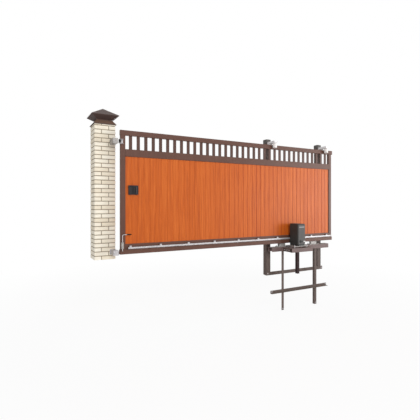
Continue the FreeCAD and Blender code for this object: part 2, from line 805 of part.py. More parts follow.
def make_drop_bolt():
    """Return the drop bolt: bent rod, black grip and the sleeve on the left stile that guides it."""
    x = leaf_left + bolt_inset
    y = leaf_front - bolt_standoff
    bend_low = bolt_handle_height - bolt_bend
    handle_end = x + bolt_bend + bolt_handle_length
    upright = rod(bolt_diameter, Vector(x, y, bolt_tip), Vector(x, y, bend_low))
    handle_start = Vector(x + bolt_bend, y, bolt_handle_height)
    grip_end = Vector(handle_end, y, bolt_handle_height)
    handle = rod(bolt_diameter, handle_start, grip_end)
    bend_z = (bend_low, bend_low + 2 * bolt_bend)
    quarter = block((x - bolt_bend, x + bolt_bend), (y - bolt_bend, y + bolt_bend), bend_z)
    bend_middle = Vector(x + bolt_bend, y, bend_low)
    elbow = Part.makeTorus(bolt_bend, bolt_diameter / 2.0, bend_middle, Vector(0, 1, 0)).common(quarter)
    bolt = upright.fuse([elbow, handle]).removeSplitter()
    grip_start = Vector(handle_end - bolt_grip_length, y, bolt_handle_height)
    grip = rod(bolt_grip_diameter, grip_start, grip_end).cut(handle)
    housing_top = bolt_housing_bottom + bolt_housing_height
    sides = centred(x, bolt_housing_width)
    front = y - bolt_diameter
    sleeve = block(sides, (front, leaf_front), (bolt_housing_bottom, housing_top))
    uprights = edges_along(sleeve, Vector(0, 0, 1))
    front_edges = [edge for edge in uprights if abs(edge.Vertexes[0].Point.y - front) < same_place]
    sleeve = sleeve.makeFillet(frame_corner, front_edges)
    bore_size = bolt_diameter + 2 * bolt_bore_clearance
    bore = rod(bore_size, Vector(x, y, bolt_housing_bottom), Vector(x, y, housing_top))
    return {"drop_bolt": bolt, "drop_bolt_grip": grip, "drop_bolt_sleeve": sleeve.cut(bore)}


def make_upper_end():
    """Return the upper end roller, its bracket on the stile, and the catcher on the pillar."""
    radius = end_roller_diameter / 2.0
    x = end_roller_left + radius
    y = leaf_front - end_roller_gap - radius
    z = centred(end_roller_centre, end_roller_height)
    roller = rod(end_roller_diameter, Vector(x, y, z[0]), Vector(x, y, z[1]))
    bore = rod(end_pin_diameter + 2 * pin_clearance, Vector(x, y, z[0]), Vector(x, y, z[1]))
    plate_z = inset(z, -end_plate_margin)
    plate_x = (leaf_left, leaf_left + end_plate_width)
    plate = block(plate_x, (leaf_front - end_plate_thickness, leaf_front), plate_z)
    ear_low = z[0] - end_ear_gap - end_ear_thickness
    ear_high = z[1] + end_ear_gap
    pieces = [rod(end_pin_diameter, Vector(x, y, ear_low), Vector(x, y, ear_high + end_ear_thickness))]
    for low in (ear_low, ear_high):
        ear = block((x, plate_x[1]), (y - radius, leaf_front), (low, low + end_ear_thickness))
        nose = Part.makeCylinder(radius, end_ear_thickness, Vector(x, y, low))
        pieces.append(ear.fuse(nose))
    bracket = plate.fuse(pieces).removeSplitter()
    mouth = end_roller_left - catcher_mouth_gap
    jaw_x = (mouth - catcher_length, mouth)
    jaw_z = centred(end_roller_centre, catcher_height)
    jaw_front = y - radius - catcher_jaw_gap
    jaw_back = y + radius + catcher_jaw_gap
    front_jaw = block(jaw_x, (jaw_front - catcher_sheet, jaw_front), jaw_z)
    back_jaw = block(jaw_x, (jaw_back, jaw_back + catcher_sheet), jaw_z)
    web = block((jaw_x[0], jaw_x[0] + catcher_sheet), (jaw_front - catcher_sheet, pillar_face), jaw_z)
    flange_x = (jaw_x[0], jaw_x[0] + catcher_flange_width)
    flange = block(flange_x, (pillar_face - catcher_sheet, pillar_face), jaw_z)
    shelf = block(jaw_x, (jaw_front, pillar_face), (jaw_z[0], jaw_z[0] + catcher_sheet))
    catcher = flange.fuse([web, shelf, front_jaw, back_jaw]).removeSplitter()
    return {
        "upper_end_roller": roller.cut(bore),
        "upper_end_bracket": bracket,
        "upper_catcher": catcher,
    }


def make_lower_end():
    """Return the lower end roller in its fork on the beam's end, and the catcher it sits in."""
    axis_x = leaf_left - low_roller_reach
    axis_z = ground_clearance + low_roller_diameter / 2.0
    roller_y = centred(-leaf_offset, low_roller_width)
    roller = rod(low_roller_diameter, *[Vector(axis_x, y, axis_z) for y in roller_y])
    fork_y = inset(roller_y, -low_fork_gap)
    outer_y = inset(fork_y, -low_fork_thickness)
    pin = rod(end_pin_diameter, Vector(axis_x, outer_y[0], axis_z), Vector(axis_x, outer_y[1], axis_z))
    plate_x = (leaf_left - low_fork_thickness, leaf_left)
    fork = block(plate_x, (beam_front, beam_back), (ground_clearance, beam_top))
    arm_z = centred(axis_z, low_fork_height)
    for side in ((outer_y[0], fork_y[0]), (fork_y[1], outer_y[1])):
        arm = block((axis_x, plate_x[0]), side, arm_z)
        nose = rod(low_fork_height, Vector(axis_x, side[0], axis_z), Vector(axis_x, side[1], axis_z))
        fork = fork.fuse([arm, nose])
    fork = fork.fuse(pin).removeSplitter()
    mouth = leaf_left - low_catcher_mouth
    span = (mouth - low_catcher_length, mouth)
    inner_y = inset(outer_y, -low_catcher_side_gap)
    shell_y = inset(inner_y, -catcher_sheet)
    floor_top = axis_z - low_roller_diameter / 2.0 - low_catcher_floor_gap
    z = (low_catcher_bottom, low_catcher_bottom + low_catcher_height)
    front_side = block(span, (shell_y[0], inner_y[0]), z)
    back_side = block(span, (inner_y[1], shell_y[1]), z)
    floor = block(span, shell_y, (floor_top - catcher_sheet, floor_top))
    end_wall = block((span[0], span[0] + catcher_sheet), shell_y, z)
    arm = block((span[0], span[0] + catcher_sheet), (shell_y[1], pillar_face), z)
    flange_x = (pillar_half - catcher_flange_width, pillar_half)
    flange = block(flange_x, (pillar_face - catcher_sheet, pillar_face), z)
    catcher = flange.fuse([front_side, back_side, floor, end_wall, arm]).removeSplitter()
    return {"lower_end_roller": roller.cut(pin), "lower_end_fork": fork, "lower_catcher": catcher}


def main():
    """Build every sub-part and write each one to its own file."""
    os.makedirs("parts", exist_ok=True)
    makers = (
        make_pillar,
        make_leaf_frame,
        make_guide_beam,
        make_rack,
        make_pinion,
        make_posts,
        make_guides,
        make_foundation,
        make_carriages,
        make_platform,
        make_motor,
        make_lock_plate,
        make_drop_bolt,
        make_upper_end,
        make_lower_end,
    )
    for maker in makers:
        for name, shape in maker().items():
            shape.exportStep("parts/" + name + ".step")


main()
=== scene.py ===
"""Dresses a cantilever sliding driveway gate: brick pillar, boarded leaf, rack drive, posts and motor."""
import logging
import math
import random
from dataclasses import dataclass
from enum import Enum
from typing import Mapping, Sequence

import bmesh
import bpy
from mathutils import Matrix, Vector, noise


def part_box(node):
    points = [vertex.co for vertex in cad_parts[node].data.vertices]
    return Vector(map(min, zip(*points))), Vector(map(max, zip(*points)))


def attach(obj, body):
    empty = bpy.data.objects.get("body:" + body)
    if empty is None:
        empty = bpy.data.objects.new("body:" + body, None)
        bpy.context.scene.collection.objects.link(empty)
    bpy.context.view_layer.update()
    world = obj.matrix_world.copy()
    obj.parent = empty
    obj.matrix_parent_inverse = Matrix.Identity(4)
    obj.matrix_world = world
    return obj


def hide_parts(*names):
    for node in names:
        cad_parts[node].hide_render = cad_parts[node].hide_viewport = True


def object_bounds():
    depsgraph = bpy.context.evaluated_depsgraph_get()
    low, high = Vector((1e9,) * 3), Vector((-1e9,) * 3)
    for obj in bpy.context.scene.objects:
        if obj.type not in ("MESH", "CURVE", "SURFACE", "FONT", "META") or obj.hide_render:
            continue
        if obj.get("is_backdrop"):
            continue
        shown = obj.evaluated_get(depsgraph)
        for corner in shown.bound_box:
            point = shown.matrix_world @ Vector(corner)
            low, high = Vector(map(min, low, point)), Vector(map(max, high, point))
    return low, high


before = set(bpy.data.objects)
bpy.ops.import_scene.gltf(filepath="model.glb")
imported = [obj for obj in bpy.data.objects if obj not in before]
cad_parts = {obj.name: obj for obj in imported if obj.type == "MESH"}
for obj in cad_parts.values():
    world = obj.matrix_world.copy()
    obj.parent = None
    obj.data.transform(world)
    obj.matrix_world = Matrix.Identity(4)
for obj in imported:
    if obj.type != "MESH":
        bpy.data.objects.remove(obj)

LOG = logging.getLogger("sliding_gate")
WELD_DISTANCE = 1e-6
BEVEL_SAMPLES = 4
EDGE_GAIN = 5.0
WEAR_SCALE = 38.0
WEAR_SLANT = 0.7
PLAIN_TONE = 0.5
Colour = tuple[float, float, float]
Point = tuple[float, float, float]
Span = tuple[float, float]
Box = tuple[Vector, Vector]


class Body(Enum):
    """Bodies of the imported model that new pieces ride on."""

    STAND = "stand"
    LEAF = "leaf"
    DROP_BOLT = "drop_bolt"
    LEFT_NEAR_ROLLER = "left_near_roller"
    LEFT_FAR_ROLLER = "left_far_roller"
    RIGHT_NEAR_ROLLER = "right_near_roller"
    RIGHT_FAR_ROLLER = "right_far_roller"


class Slot(Enum):
    """Material slots of the record."""

    BRICK = "brick"
    CAP_SHEET = "cap_sheet"
    BROWN_PAINT = "brown_paint"
    BOARD = "board"
    ZINC = "zinc"
    NYLON = "nylon"
    BLACK_PLASTIC = "black_plastic"
    BLACK_RUBBER = "black_rubber"
    DARK_CAP = "dark_cap"
    MOTOR_GREY = "motor_grey"
    PALE_STRIP = "pale_strip"
    GEAR_STEEL = "gear_steel"


class Facing(Enum):
    """Directions that a bolt or screw head can face."""

    FRONT = (0.0, -1.0, 0.0)
    UP = (0.0, 0.0, 1.0)
    DOWN = (0.0, 0.0, -1.0)
    LEFT = (-1.0, 0.0, 0.0)
    RIGHT = (1.0, 0.0, 0.0)


def srgb(red: int, green: int, blue: int) -> Colour:
    """Return a screen colour as a linear one.

    Args:
        red: Red from 0 to 255.
        green: Green from 0 to 255.
        blue: Blue from 0 to 255.

    Returns:
        The linear colour.
    """
    shares = (red / 255.0, green / 255.0, blue / 255.0)
    return tuple(s / 12.92 if s <= 0.04045 else ((s + 0.055) / 1.055) ** 2.4 for s in shares)


def scaled(colour: Colour, factor: float) -> Colour:
    """Return a colour made lighter or darker by a factor."""
    return tuple(min(1.0, part * factor) for part in colour)


def solids(node: str) -> list[Box]:
    """Find the separate solids of a node.

    Args:
        node: The node's name.

    Returns:
        The lowest and highest corner of each solid, from left to right.
    """
    mesh = bmesh.new()
    mesh.from_mesh(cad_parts[node].data)
    bmesh.ops.remove_doubles(mesh, verts=mesh.verts, dist=WELD_DISTANCE)
    waiting = set(mesh.verts)
    boxes = []
    while waiting:
        group = [waiting.pop()]
        for vert in group:
            for edge in vert.link_edges:
                other = edge.other_vert(vert)
                if other in waiting:
                    waiting.remove(other)
                    group.append(other)
        rows = list(zip(*(vert.co for vert in group)))
        boxes.append((Vector([min(row) for row in rows]), Vector([max(row) for row in rows])))
    mesh.free()
    return sorted(boxes, key=lambda box: (box[0].x, box[0].y))


class Value:
    """An output socket that takes part in arithmetic."""

    def __init__(self, graph: "Graph", socket: bpy.types.NodeSocket) -> None:
        """Wrap a socket of a graph."""
        self.graph = graph
        self.socket = socket

    def _math(self, operation: str, first: "Value | float", second: "Value | float") -> "Value":
        """Return the result of a Math node on two values."""
        return self.graph.node("ShaderNodeMath", {"operation": operation}, {0: first, 1: second})

    def __add__(self, other: "Value | float") -> "Value":
        """Return the sum."""
        return self._math("ADD", self, other)

    def __radd__(self, other: float) -> "Value":
        """Return the sum with a number first."""
        return self._math("ADD", other, self)

    def __sub__(self, other: "Value | float") -> "Value":
        """Return the difference."""
        return self._math("SUBTRACT", self, other)

    def __rsub__(self, other: float) -> "Value":
        """Return a number less this value."""
        return self._math("SUBTRACT", other, self)

    def __mul__(self, other: "Value | float") -> "Value":
        """Return the product."""
        return self._math("MULTIPLY", self, other)

    def __rmul__(self, other: float) -> "Value":
        """Return the product with a number first."""
        return self._math("MULTIPLY", other, self)

    def clamped(self) -> "Value":
        """Return the value held between 0 and 1."""
        return self.graph.node("ShaderNodeClamp", {}, {"Value": self})


Input = Value | float | Sequence[float]


class Graph:
    """A node tree that is filled by expressions."""

    def __init__(self, tree: bpy.types.NodeTree) -> None:
        """Start from an emptied tree."""
        self.tree = tree
        self.tree.nodes.clear()

    def node(
        self,
        kind: str,
        settings: Mapping[str, object],
        inputs: Mapping[str | int, Input],
        out: str | int = 0,
    ) -> Value:
        """Add a node.

        Args:
            kind: The node's type.
            settings: Its settings, set before the sockets; stops fills a colour ramp.
            inputs: Values or links of its input sockets.
            out: The output socket to hand back.

        Returns:
            The chosen output.
        """
        made = self.tree.nodes.new(kind)
        for key, value in settings.items():
            if key == "stops":
                self._fill_ramp(made.color_ramp, value)
            else:
                setattr(made, key, value)
        for key, value in inputs.items():
            if isinstance(value, Value):
                self.tree.links.new(value.socket, made.inputs[key])
            else:
                made.inputs[key].default_value = value
        return Value(self, made.outputs[out]) if len(made.outputs) else Value(self, made.inputs[0])

    @staticmethod
    def _fill_ramp(ramp: bpy.types.ColorRamp, stops: Sequence[tuple[float, Colour]]) -> None:
        """Give a colour ramp its stops."""
        while len(ramp.elements) < len(stops):
            ramp.elements.new(1.0)
        for element, (position, colour) in zip(ramp.elements, stops):
            element.position = position
            element.color = (*colour, 1.0)

    def place(self) -> Value:
        """Return the place on the piece, in metres of the row frame."""
        return self.node("ShaderNodeTexCoord", {}, {}, "Object")

    def part(self, vector: Value, axis: str) -> Value:
        """Return one part of a vector."""
        return self.node("ShaderNodeSeparateXYZ", {}, {0: vector}, axis)

    def stretched(self, place: Value, factors: Point) -> Value:
        """Return a place multiplied along each axis."""
        return self.node("ShaderNodeVectorMath", {"operation": "MULTIPLY"}, {0: place, 1: factors})

    def moved(self, place: Value, offset: Value) -> Value:
        """Return a place with an offset added."""
        return self.node("ShaderNodeVectorMath", {"operation": "ADD"}, {0: place, 1: offset})

    def noise(self, place: Value, scale: float, detail: float = 3.0, warp: float = 0.0) -> Value:
        """Return soft noise.

        Args:
            place: Where it is read.
            scale: Features to the metre.
            detail: Octaves.
            warp: Distortion.

        Returns:
            Noise about 0.5.
        """
        sockets = {"Vector": place, "Scale": scale, "Detail": detail, "Distortion": warp}
        return self.node("ShaderNodeTexNoise", {}, sockets)

    def drawn(self, place: Value, along: float, scale: float, detail: float, warp: float = 0.0) -> Value:
        """Return soft noise that is drawn out or pressed together along the height.

        Args:
            place: Where it is read.
            along: Features along the height for each one across.
            scale: Features to the metre.
            detail: Octaves.
            warp: Distortion.

        Returns:
            Noise about 0.5.
        """
        return self.noise(self.stretched(place, (1.0, 1.0, along)), scale, detail, warp)

    def above(self, level: Value, start: float, gain: float) -> Value:
        """Return a mask that rises from 0 to 1 once a level has passed its start."""
        return ((level - start) * gain).clamped()

    def cells(self, place: Value, scale: float) -> Value:
        """Return a number for each cell of a crystal pattern."""
        colour = self.node("ShaderNodeTexVoronoi", {}, {"Vector": place, "Scale": scale}, "Color")
        return self.node("ShaderNodeSeparateColor", {}, {0: colour})

    def edges(self, radius: float) -> Value:
        """Return a mask that rises to 1 along a piece's sharp edges.

        Args:
            radius: How far from an edge the mask reaches.

        Returns:
            The mask.
        """
        eased = self.node("ShaderNodeBevel", {"samples": BEVEL_SAMPLES}, {"Radius": radius})
        flat = self.node("ShaderNodeNewGeometry", {}, {}, "Normal")
        pair = {0: eased, 1: flat}
        likeness = self.node("ShaderNodeVectorMath", {"operation": "DOT_PRODUCT"}, pair, "Value")
        return ((1.0 - likeness) * EDGE_GAIN).clamped()

    def up(self) -> Value:
        """Return how far a face looks up, from -1 to 1."""
        return self.part(self.node("ShaderNodeNewGeometry", {}, {}, "Normal"), "Z")

    def tone(self) -> Value:
        """Return the number that the mesh gives each brick or board."""
        return self.node("ShaderNodeAttribute", {"attribute_name": "tone"}, {}, "Fac")

    def ramp(self, factor: Value, stops: Sequence[tuple[float, Colour]]) -> Value:
        """Return a colour looked up in a ramp."""
        return self.node("ShaderNodeValToRGB", {"stops": stops}, {0: factor})

    def mottled(self, factor: Value, colour: Colour, span: Span, shades: Span) -> Value:
        """Return a colour that changes its shade as a factor rises.

        Args:
            factor: The factor.
            colour: The colour.
            span: Where the change starts and ends.
            shades: Lightness of the colour at both ends.

        Returns:
            The shaded colour.
        """
        return self.ramp(factor, [(stop, scaled(colour, shade)) for stop, shade in zip(span, shades)])

    def mix(self, factor: Input, first: Input, second: Input) -> Value:
        """Mix two colours.

        Args:
            factor: Share of the second.
            first: First colour.
            second: Second colour.

        Returns:
            The mixed colour.
        """
        pair = [item if isinstance(item, Value) else (*item, 1.0) for item in (first, second)]
        return self.node("ShaderNodeMix", {"data_type": "RGBA"}, {0: factor, 6: pair[0], 7: pair[1]}, 2)

    def shaded(self, colour: Value, light: Value) -> Value:
        """Return a colour multiplied by a number."""
        settings = {"data_type": "RGBA", "blend_type": "MULTIPLY"}
        return self.node("ShaderNodeMix", settings, {0: 1.0, 6: colour, 7: light}, 2)

    def surface(
        self,
        sockets: Mapping[str, Input],
        height: Value,
        depth: float,
        strength: float,
        easing: float = 0.0012,
    ) -> None:
        """Finish a material.

        Args:
            sockets: Sockets of its shader.
            height: Relief of the surface.
            depth: Depth of the relief in metres.
            strength: Strength of the relief.
            easing: Radius that sharp edges are eased to.
        """
        eased = self.node("ShaderNodeBevel", {"samples": BEVEL_SAMPLES}, {"Radius": easing})
        bump = {"Strength": strength, "Distance": depth, "Height": height, "Normal": eased}
        normal = self.node("ShaderNodeBump", {}, bump)
        shader = self.node("ShaderNodeBsdfPrincipled", {}, {**sockets, "Normal": normal})
        self.node("ShaderNodeOutputMaterial", {}, {"Surface": shader})


@dataclass(frozen=True)
class Finish:
    """A finish, whose material is made on first use."""

    name: str
    slot: Slot

    def material(self) -> bpy.types.Material:
        """Return the finish's material."""
        found = bpy.data.materials.get(self.name)
        if found is None:
            found = bpy.data.materials.new(self.name)
            found.use_nodes = True
            self.paint(Graph(found.node_tree))
        return found

    def paint(self, graph: Graph) -> None:
        """Fill the material's nodes."""
        raise NotImplementedError


DUST: Colour = srgb(150, 138, 124)
SCUFFED: Colour = (0.5, 0.5, 0.48)


@dataclass(frozen=True)
class PaintedSteel(Finish):
    """Satin paint on steel, with orange peel, rain runs, dust on top, worn spots and rubbed edges."""

    colour: Colour
    worn: Colour
    gloss: float = 0.42
    shine: float = 0.26
    cloud_scale: float = 2.6
    peel_scale: float = 380.0
    spot_scale: float = 46.0
    run_scale: float = 48.0

    def paint(self, graph: Graph) -> None:
        """Fill the material's nodes."""
        place = graph.place()
        cloud = graph.noise(place, self.cloud_scale, 4.0)
        peel = graph.noise(place, self.peel_scale, 2.0)
        spots = graph.noise(place, self.spot_scale, 6.0)
        wear = graph.above(spots, 0.67, 11.0)
        rubbed = graph.edges(0.002) * (spots * 1.6).clamped()
        runs = graph.drawn(place, 0.05, self.run_scale, 4.0)
        weather = cloud * 0.55 + runs * 0.45
        coat = graph.mottled(weather, self.colour, (0.32, 0.68), (0.88, 1.12))
        painted = graph.mix((wear * 0.35 + rubbed * 0.4).clamped(), coat, self.worn)
        settled = graph.above(graph.up(), 0.55, 3.0) * (0.1 + spots * 0.5)
        colour = graph.mix(settled, painted, DUST)
        rough = self.gloss + (weather - 0.5) * 0.2 + wear * 0.2 + rubbed * 0.1 + settled * 0.3
        sockets = {"Base Color": colour, "Roughness": rough, "Specular IOR Level": self.shine}
        graph.surface(sockets, peel - wear * 0.5, 0.0006, 0.16)


@dataclass(frozen=True)
class CapSheet(Finish):
    """Coated sheet metal of a pillar cap: painted shade on faces that look down under the eave, painted
    light on the skirt's upward faces below the neck, pale rubbed edges.
    """

    colour: Colour
    # Second colour: painted shade under the eave. Third colour: painted light on the skirt, also used for
    # the rubbed edges.
    painted_eave_shade: Colour
    dust_and_skirt_light: Colour
    neck: float
    shine: float = 0.12
    cloud_scale: float = 5.0
    peel_scale: float = 420.0
    run_scale: float = 34.0

    def paint(self, graph: Graph) -> None:
        """Fill the material's nodes."""
        place = graph.place()
        cloud = graph.noise(place, self.cloud_scale, 4.0)
        peel = graph.noise(place, self.peel_scale, 2.0)
        runs = graph.drawn(place, 0.12, self.run_scale, 4.0)
        height = graph.part(place, "Z")
        up = graph.up()
        # Painted shade on faces that look down under the eave, streaked by the runs.
        eave_shade_mask = (up * -2.5).clamped() * (0.75 + runs * 0.4)
        # Painted light on the skirt's upward faces below the neck.
        skirt_light_mask = ((self.neck - height) * 40.0).clamped() * (up * 2.0).clamped()
        coat = graph.mottled(cloud, self.colour, (0.3, 0.7), (0.92, 1.08))
        painted_eave_shade = graph.mix(eave_shade_mask.clamped(), coat, self.painted_eave_shade)
        # The skirt's painted light, plus a little pale wear along rubbed edges.
        skirt_light_and_edge_wear = (skirt_light_mask * (0.7 + runs * 0.5) + graph.edges(0.002) * 0.25).clamped()
        colour = graph.mix(skirt_light_and_edge_wear, painted_eave_shade, self.dust_and_skirt_light)
        rough = 0.5 + (cloud - 0.5) * 0.14 + eave_shade_mask * 0.1
        sockets = {"Base Color": colour, "Roughness": rough, "Specular IOR Level": self.shine}
        graph.surface(sockets, peel + runs * 0.3, 0.0006, 0.12)


@dataclass(frozen=True)
class Galvanised(Finish):
    """Zinc with a spangle of crystals, dull patches and bright edges."""

    dark: Colour
    pale: Colour
    spangle: float = 95.0
    metal: float = 0.55
    fine_spangle: float = 2.7
    dull_scale: float = 11.0
    grain_scale: float = 620.0

    def paint(self, graph: Graph) -> None:
        """Fill the material's nodes."""
        place = graph.place()
        crystal = graph.cells(place, self.spangle)
        small = graph.cells(place, self.spangle * self.fine_spangle)
        dull = graph.noise(place, self.dull_scale, 5.0)
        grain = graph.noise(place, self.grain_scale, 2.0)
        tone = crystal * 0.5 + small * 0.2 + dull * 0.3
        coat = graph.ramp(tone, ((0.15, self.dark), (0.85, self.pale)))
        colour = graph.mix(graph.edges(0.0015) * 0.3, coat, self.pale)
        rough = 0.34 + dull * 0.22 + crystal * 0.08
        sockets = {"Base Color": colour, "Roughness": rough, "Metallic": self.metal}
        graph.surface(sockets, crystal * 0.4 + grain * 0.6, 0.0004, 0.18)


@dataclass(frozen=True)
class FacingBrick(Finish):
    """Cream facing brick: own tone for each brick, sandy face, drag marks, dark specks and pale arrises."""

    pale: Colour
    middle: Colour
    buff: Colour
    shine: float = 0.2
    drag_scale: float = 16.0
    sand_scale: float = 420.0
    cloud_scale: float = 13.0
    speck_scale: float = 150.0

    def paint(self, graph: Graph) -> None:
        """Fill the material's nodes."""
        place = graph.place()
        tone = graph.tone()
        drag = graph.drawn(place, 7.0, self.drag_scale, 4.0, 0.4)
        sand = graph.noise(place, self.sand_scale, 3.0)
        cloud = graph.noise(place, self.cloud_scale, 4.0)
        specks = graph.above(graph.noise(place, self.speck_scale, 2.0), 0.69, 14.0)
        base = graph.ramp(tone, ((0.0, self.pale), (0.55, self.middle), (1.0, self.buff)))
        light = 0.84 + drag * 0.14 + cloud * 0.1 + sand * 0.06
        face = graph.mix(specks * 0.4, graph.shaded(base, light), scaled(self.buff, 0.45))
        colour = graph.mix(graph.edges(0.004) * 0.35, face, self.pale)
        rough = 0.82 + sand * 0.14
        relief = drag * 0.6 + cloud * 0.25 + sand * 0.25 - specks * 0.3
        sockets = {"Base Color": colour, "Roughness": rough, "Specular IOR Level": self.shine}
        graph.surface(sockets, relief, 0.004, 0.5)


@dataclass(frozen=True)
class Mortar(Finish):
    """Struck mortar with sand grains and damp stains."""

    colour: Colour
    shine: float = 0.2
    sand_scale: float = 520.0
    stain_scale: float = 8.0

    def paint(self, graph: Graph) -> None:
        """Fill the material's nodes."""
        place = graph.place()
        sand = graph.noise(place, self.sand_scale, 3.0)
        stain = graph.noise(place, self.stain_scale, 5.0)
        coat = graph.mottled(stain, self.colour, (0.3, 0.7), (0.82, 1.12))
        colour = graph.shaded(coat, 0.8 + sand * 0.4)
        rough = 0.86 + sand * 0.1
        sockets = {"Base Color": colour, "Roughness": rough, "Specular IOR Level": self.shine}
        graph.surface(sockets, sand, 0.002, 0.5)


@dataclass(frozen=True)
class StainedBoard(Finish):
    """Stained and varnished softwood: long grain, pores, a tone for each board, and grooves that mix towards
    a painted shade by the share that the mesh gives them.
    """

    deep: Colour
    middle: Colour
    light: Colour
    # Colour of the painted shade in the grooves.
    groove: Colour
    shine: float = 0.26
    figure_scale: float = 42.0
    streak_scale: float = 26.0
    fibre_scale: float = 230.0
    pore_scale: float = 560.0
    tone_shift: Span = (5.0, 17.0)

    def paint(self, graph: Graph) -> None:
        """Fill the material's nodes."""
        tone = graph.tone()
        # Tones above 1 mark a groove's share of painted shade.
        hollow = (tone - 1.0).clamped()
        across, along = self.tone_shift
        offset = graph.node("ShaderNodeCombineXYZ", {}, {"X": tone * across, "Y": 0.0, "Z": tone * along})
        place = graph.moved(graph.place(), offset)
        figure = graph.drawn(place, 0.03, self.figure_scale, 3.0, 0.5)
        fibre = graph.drawn(place, 0.025, self.fibre_scale, 4.0)
        pores = graph.above(graph.drawn(place, 0.04, self.pore_scale, 1.0), 0.63, 9.0)
        streak = graph.drawn(place, 0.05, self.streak_scale, 2.0)
        grain = figure * 0.44 + streak * 0.22 + fibre * 0.28 + tone.clamped() * 0.06
        stain = graph.ramp(grain, ((0.34, self.deep), (0.49, self.middle), (0.62, self.light)))
        varnished = graph.mix(pores * 0.35, stain, scaled(self.deep, 0.7))
        # Painted groove shade, mixed in by that share.
        colour = graph.mix(hollow, varnished, self.groove)
        rough = 0.38 + fibre * 0.12 + pores * 0.12
        sockets = {"Base Color": colour, "Roughness": rough, "Specular IOR Level": self.shine}
        graph.surface(sockets, fibre * 0.6 + figure * 0.4 - pores * 0.5, 0.0009, 0.25)


@dataclass(frozen=True)
class MouldedPlastic(Finish):
    """Moulded plastic with a fine spark texture, handling marks, faint dust and rubbed edges."""

    colour: Colour
    gloss: float
    texture: float = 900.0
    dust_and_skirt_light: float = 0.1
    shine: float = 0.3
    cloud_scale: float = 9.0
    scuff_scale: float = 70.0

    def paint(self, graph: Graph) -> None:
        """Fill the material's nodes."""
        place = graph.place()
        spark = graph.noise(place, self.texture, 2.0)
        cloud = graph.noise(place, self.cloud_scale, 4.0)
        scuff = graph.above(graph.drawn(place, 0.3, self.scuff_scale, 5.0), 0.66, 8.0)
        coat = graph.mottled(cloud, self.colour, (0.3, 0.7), (0.92, 1.08))
        rubbed = graph.edges(0.002) * cloud
        marks = (scuff * self.dust_and_skirt_light + rubbed * self.dust_and_skirt_light).clamped()
        colour = graph.mix(marks, coat, SCUFFED)
        rough = self.gloss + (cloud - 0.5) * 0.12 + scuff * 0.1
        sockets = {"Base Color": colour, "Roughness": rough, "Specular IOR Level": self.shine}
        graph.surface(sockets, spark, 0.0004, 0.2)


@dataclass(frozen=True)
class BlackRubber(Finish):
    """Rubber with a chalky bloom and a rolled surface."""

    colour: Colour
    bloom: Colour
    chalk_scale: float = 24.0
    grit_scale: float = 480.0

    def paint(self, graph: Graph) -> None:
        """Fill the material's nodes."""
        place = graph.place()
        chalk = graph.above(graph.noise(place, self.chalk_scale, 5.0), 0.5, 3.0)
        grit = graph.noise(place, self.grit_scale, 3.0)
        colour = graph.mix(chalk * 0.5, self.colour, self.bloom)
        rough = 0.68 + grit * 0.2
        graph.surface({"Base Color": colour, "Roughness": rough}, grit, 0.0005, 0.3)


@dataclass(frozen=True)
class MachinedSteel(Finish):
    """Cut steel with tool lines across it and a film of grease."""

    colour: Colour
    grease: Colour
    line_scale: float = 700.0
    film_scale: float = 55.0

    def paint(self, graph: Graph) -> None:
        """Fill the material's nodes."""
        place = graph.place()
        lines = graph.noise(graph.stretched(place, (1.0, 0.05, 1.0)), self.line_scale, 2.0)
        film = graph.above(graph.noise(place, self.film_scale, 4.0), 0.45, 3.0)
        colour = graph.mix(film * 0.6, self.colour, self.grease)
        rough = 0.28 + lines * 0.12 + film * 0.12
        sockets = {"Base Color": colour, "Roughness": rough, "Metallic": 1.0}
        graph.surface(sockets, lines, 0.0004, 0.2)


LEAF_PAINT = PaintedSteel("brown_leaf_paint", Slot.BROWN_PAINT, srgb(96, 65, 54), srgb(138, 113, 102))
PICKET_PAINT = PaintedSteel("brown_picket_paint", Slot.BROWN_PAINT, srgb(84, 58, 49), srgb(126, 103, 93))
POST_PAINT = PaintedSteel(
    "umber_post_paint", Slot.BROWN_PAINT, srgb(97, 84, 79), srgb(134, 121, 114), 0.46, 0.15
)
FRAME_PAINT = PaintedSteel("umber_frame_paint", Slot.BROWN_PAINT, srgb(110, 91, 88), srgb(146, 130, 124))
DARK_PAINT = PaintedSteel("dark_leg_paint", Slot.BROWN_PAINT, srgb(52, 38, 38), srgb(96, 82, 78), 0.5, 0.1)
# Second colour: painted shade under the eave. Third colour: painted light on the skirt and the rubbed edges.
CAP_COAT = CapSheet(
    "dark_cap_coating", Slot.CAP_SHEET, srgb(92, 78, 74), srgb(78, 62, 58), srgb(113, 88, 74), 2.575
)
ZINC = Galvanised("galvanised_zinc", Slot.ZINC, srgb(160, 157, 158), srgb(214, 210, 212))
PALE_ZINC = Galvanised("pale_zinc", Slot.ZINC, srgb(184, 181, 181), srgb(229, 225, 226))
DULL_ZINC = Galvanised("dull_zinc", Slot.ZINC, srgb(134, 130, 127), srgb(182, 178, 174), 80.0, 0.3)
DARK_ZINC = Galvanised("dark_zinc", Slot.ZINC, srgb(78, 74, 69), srgb(124, 118, 112), 80.0, 0.3)
BRICK = FacingBrick("cream_brick", Slot.BRICK, srgb(255, 248, 232), srgb(251, 242, 224), srgb(241, 229, 207))
MORTAR = Mortar("sand_mortar", Slot.BRICK, srgb(160, 146, 126))
# The last colour is the painted shade in the grooves.
BOARD = StainedBoard(
    "orange_board", Slot.BOARD, srgb(172, 76, 16), srgb(196, 92, 22), srgb(210, 107, 35), srgb(146, 23, 3)
)
NYLON = MouldedPlastic("white_nylon", Slot.NYLON, srgb(240, 236, 233), 0.45, 700.0, 0.06)
BLACK = MouldedPlastic("black_moulding", Slot.BLACK_PLASTIC, srgb(40, 35, 37), 0.5)
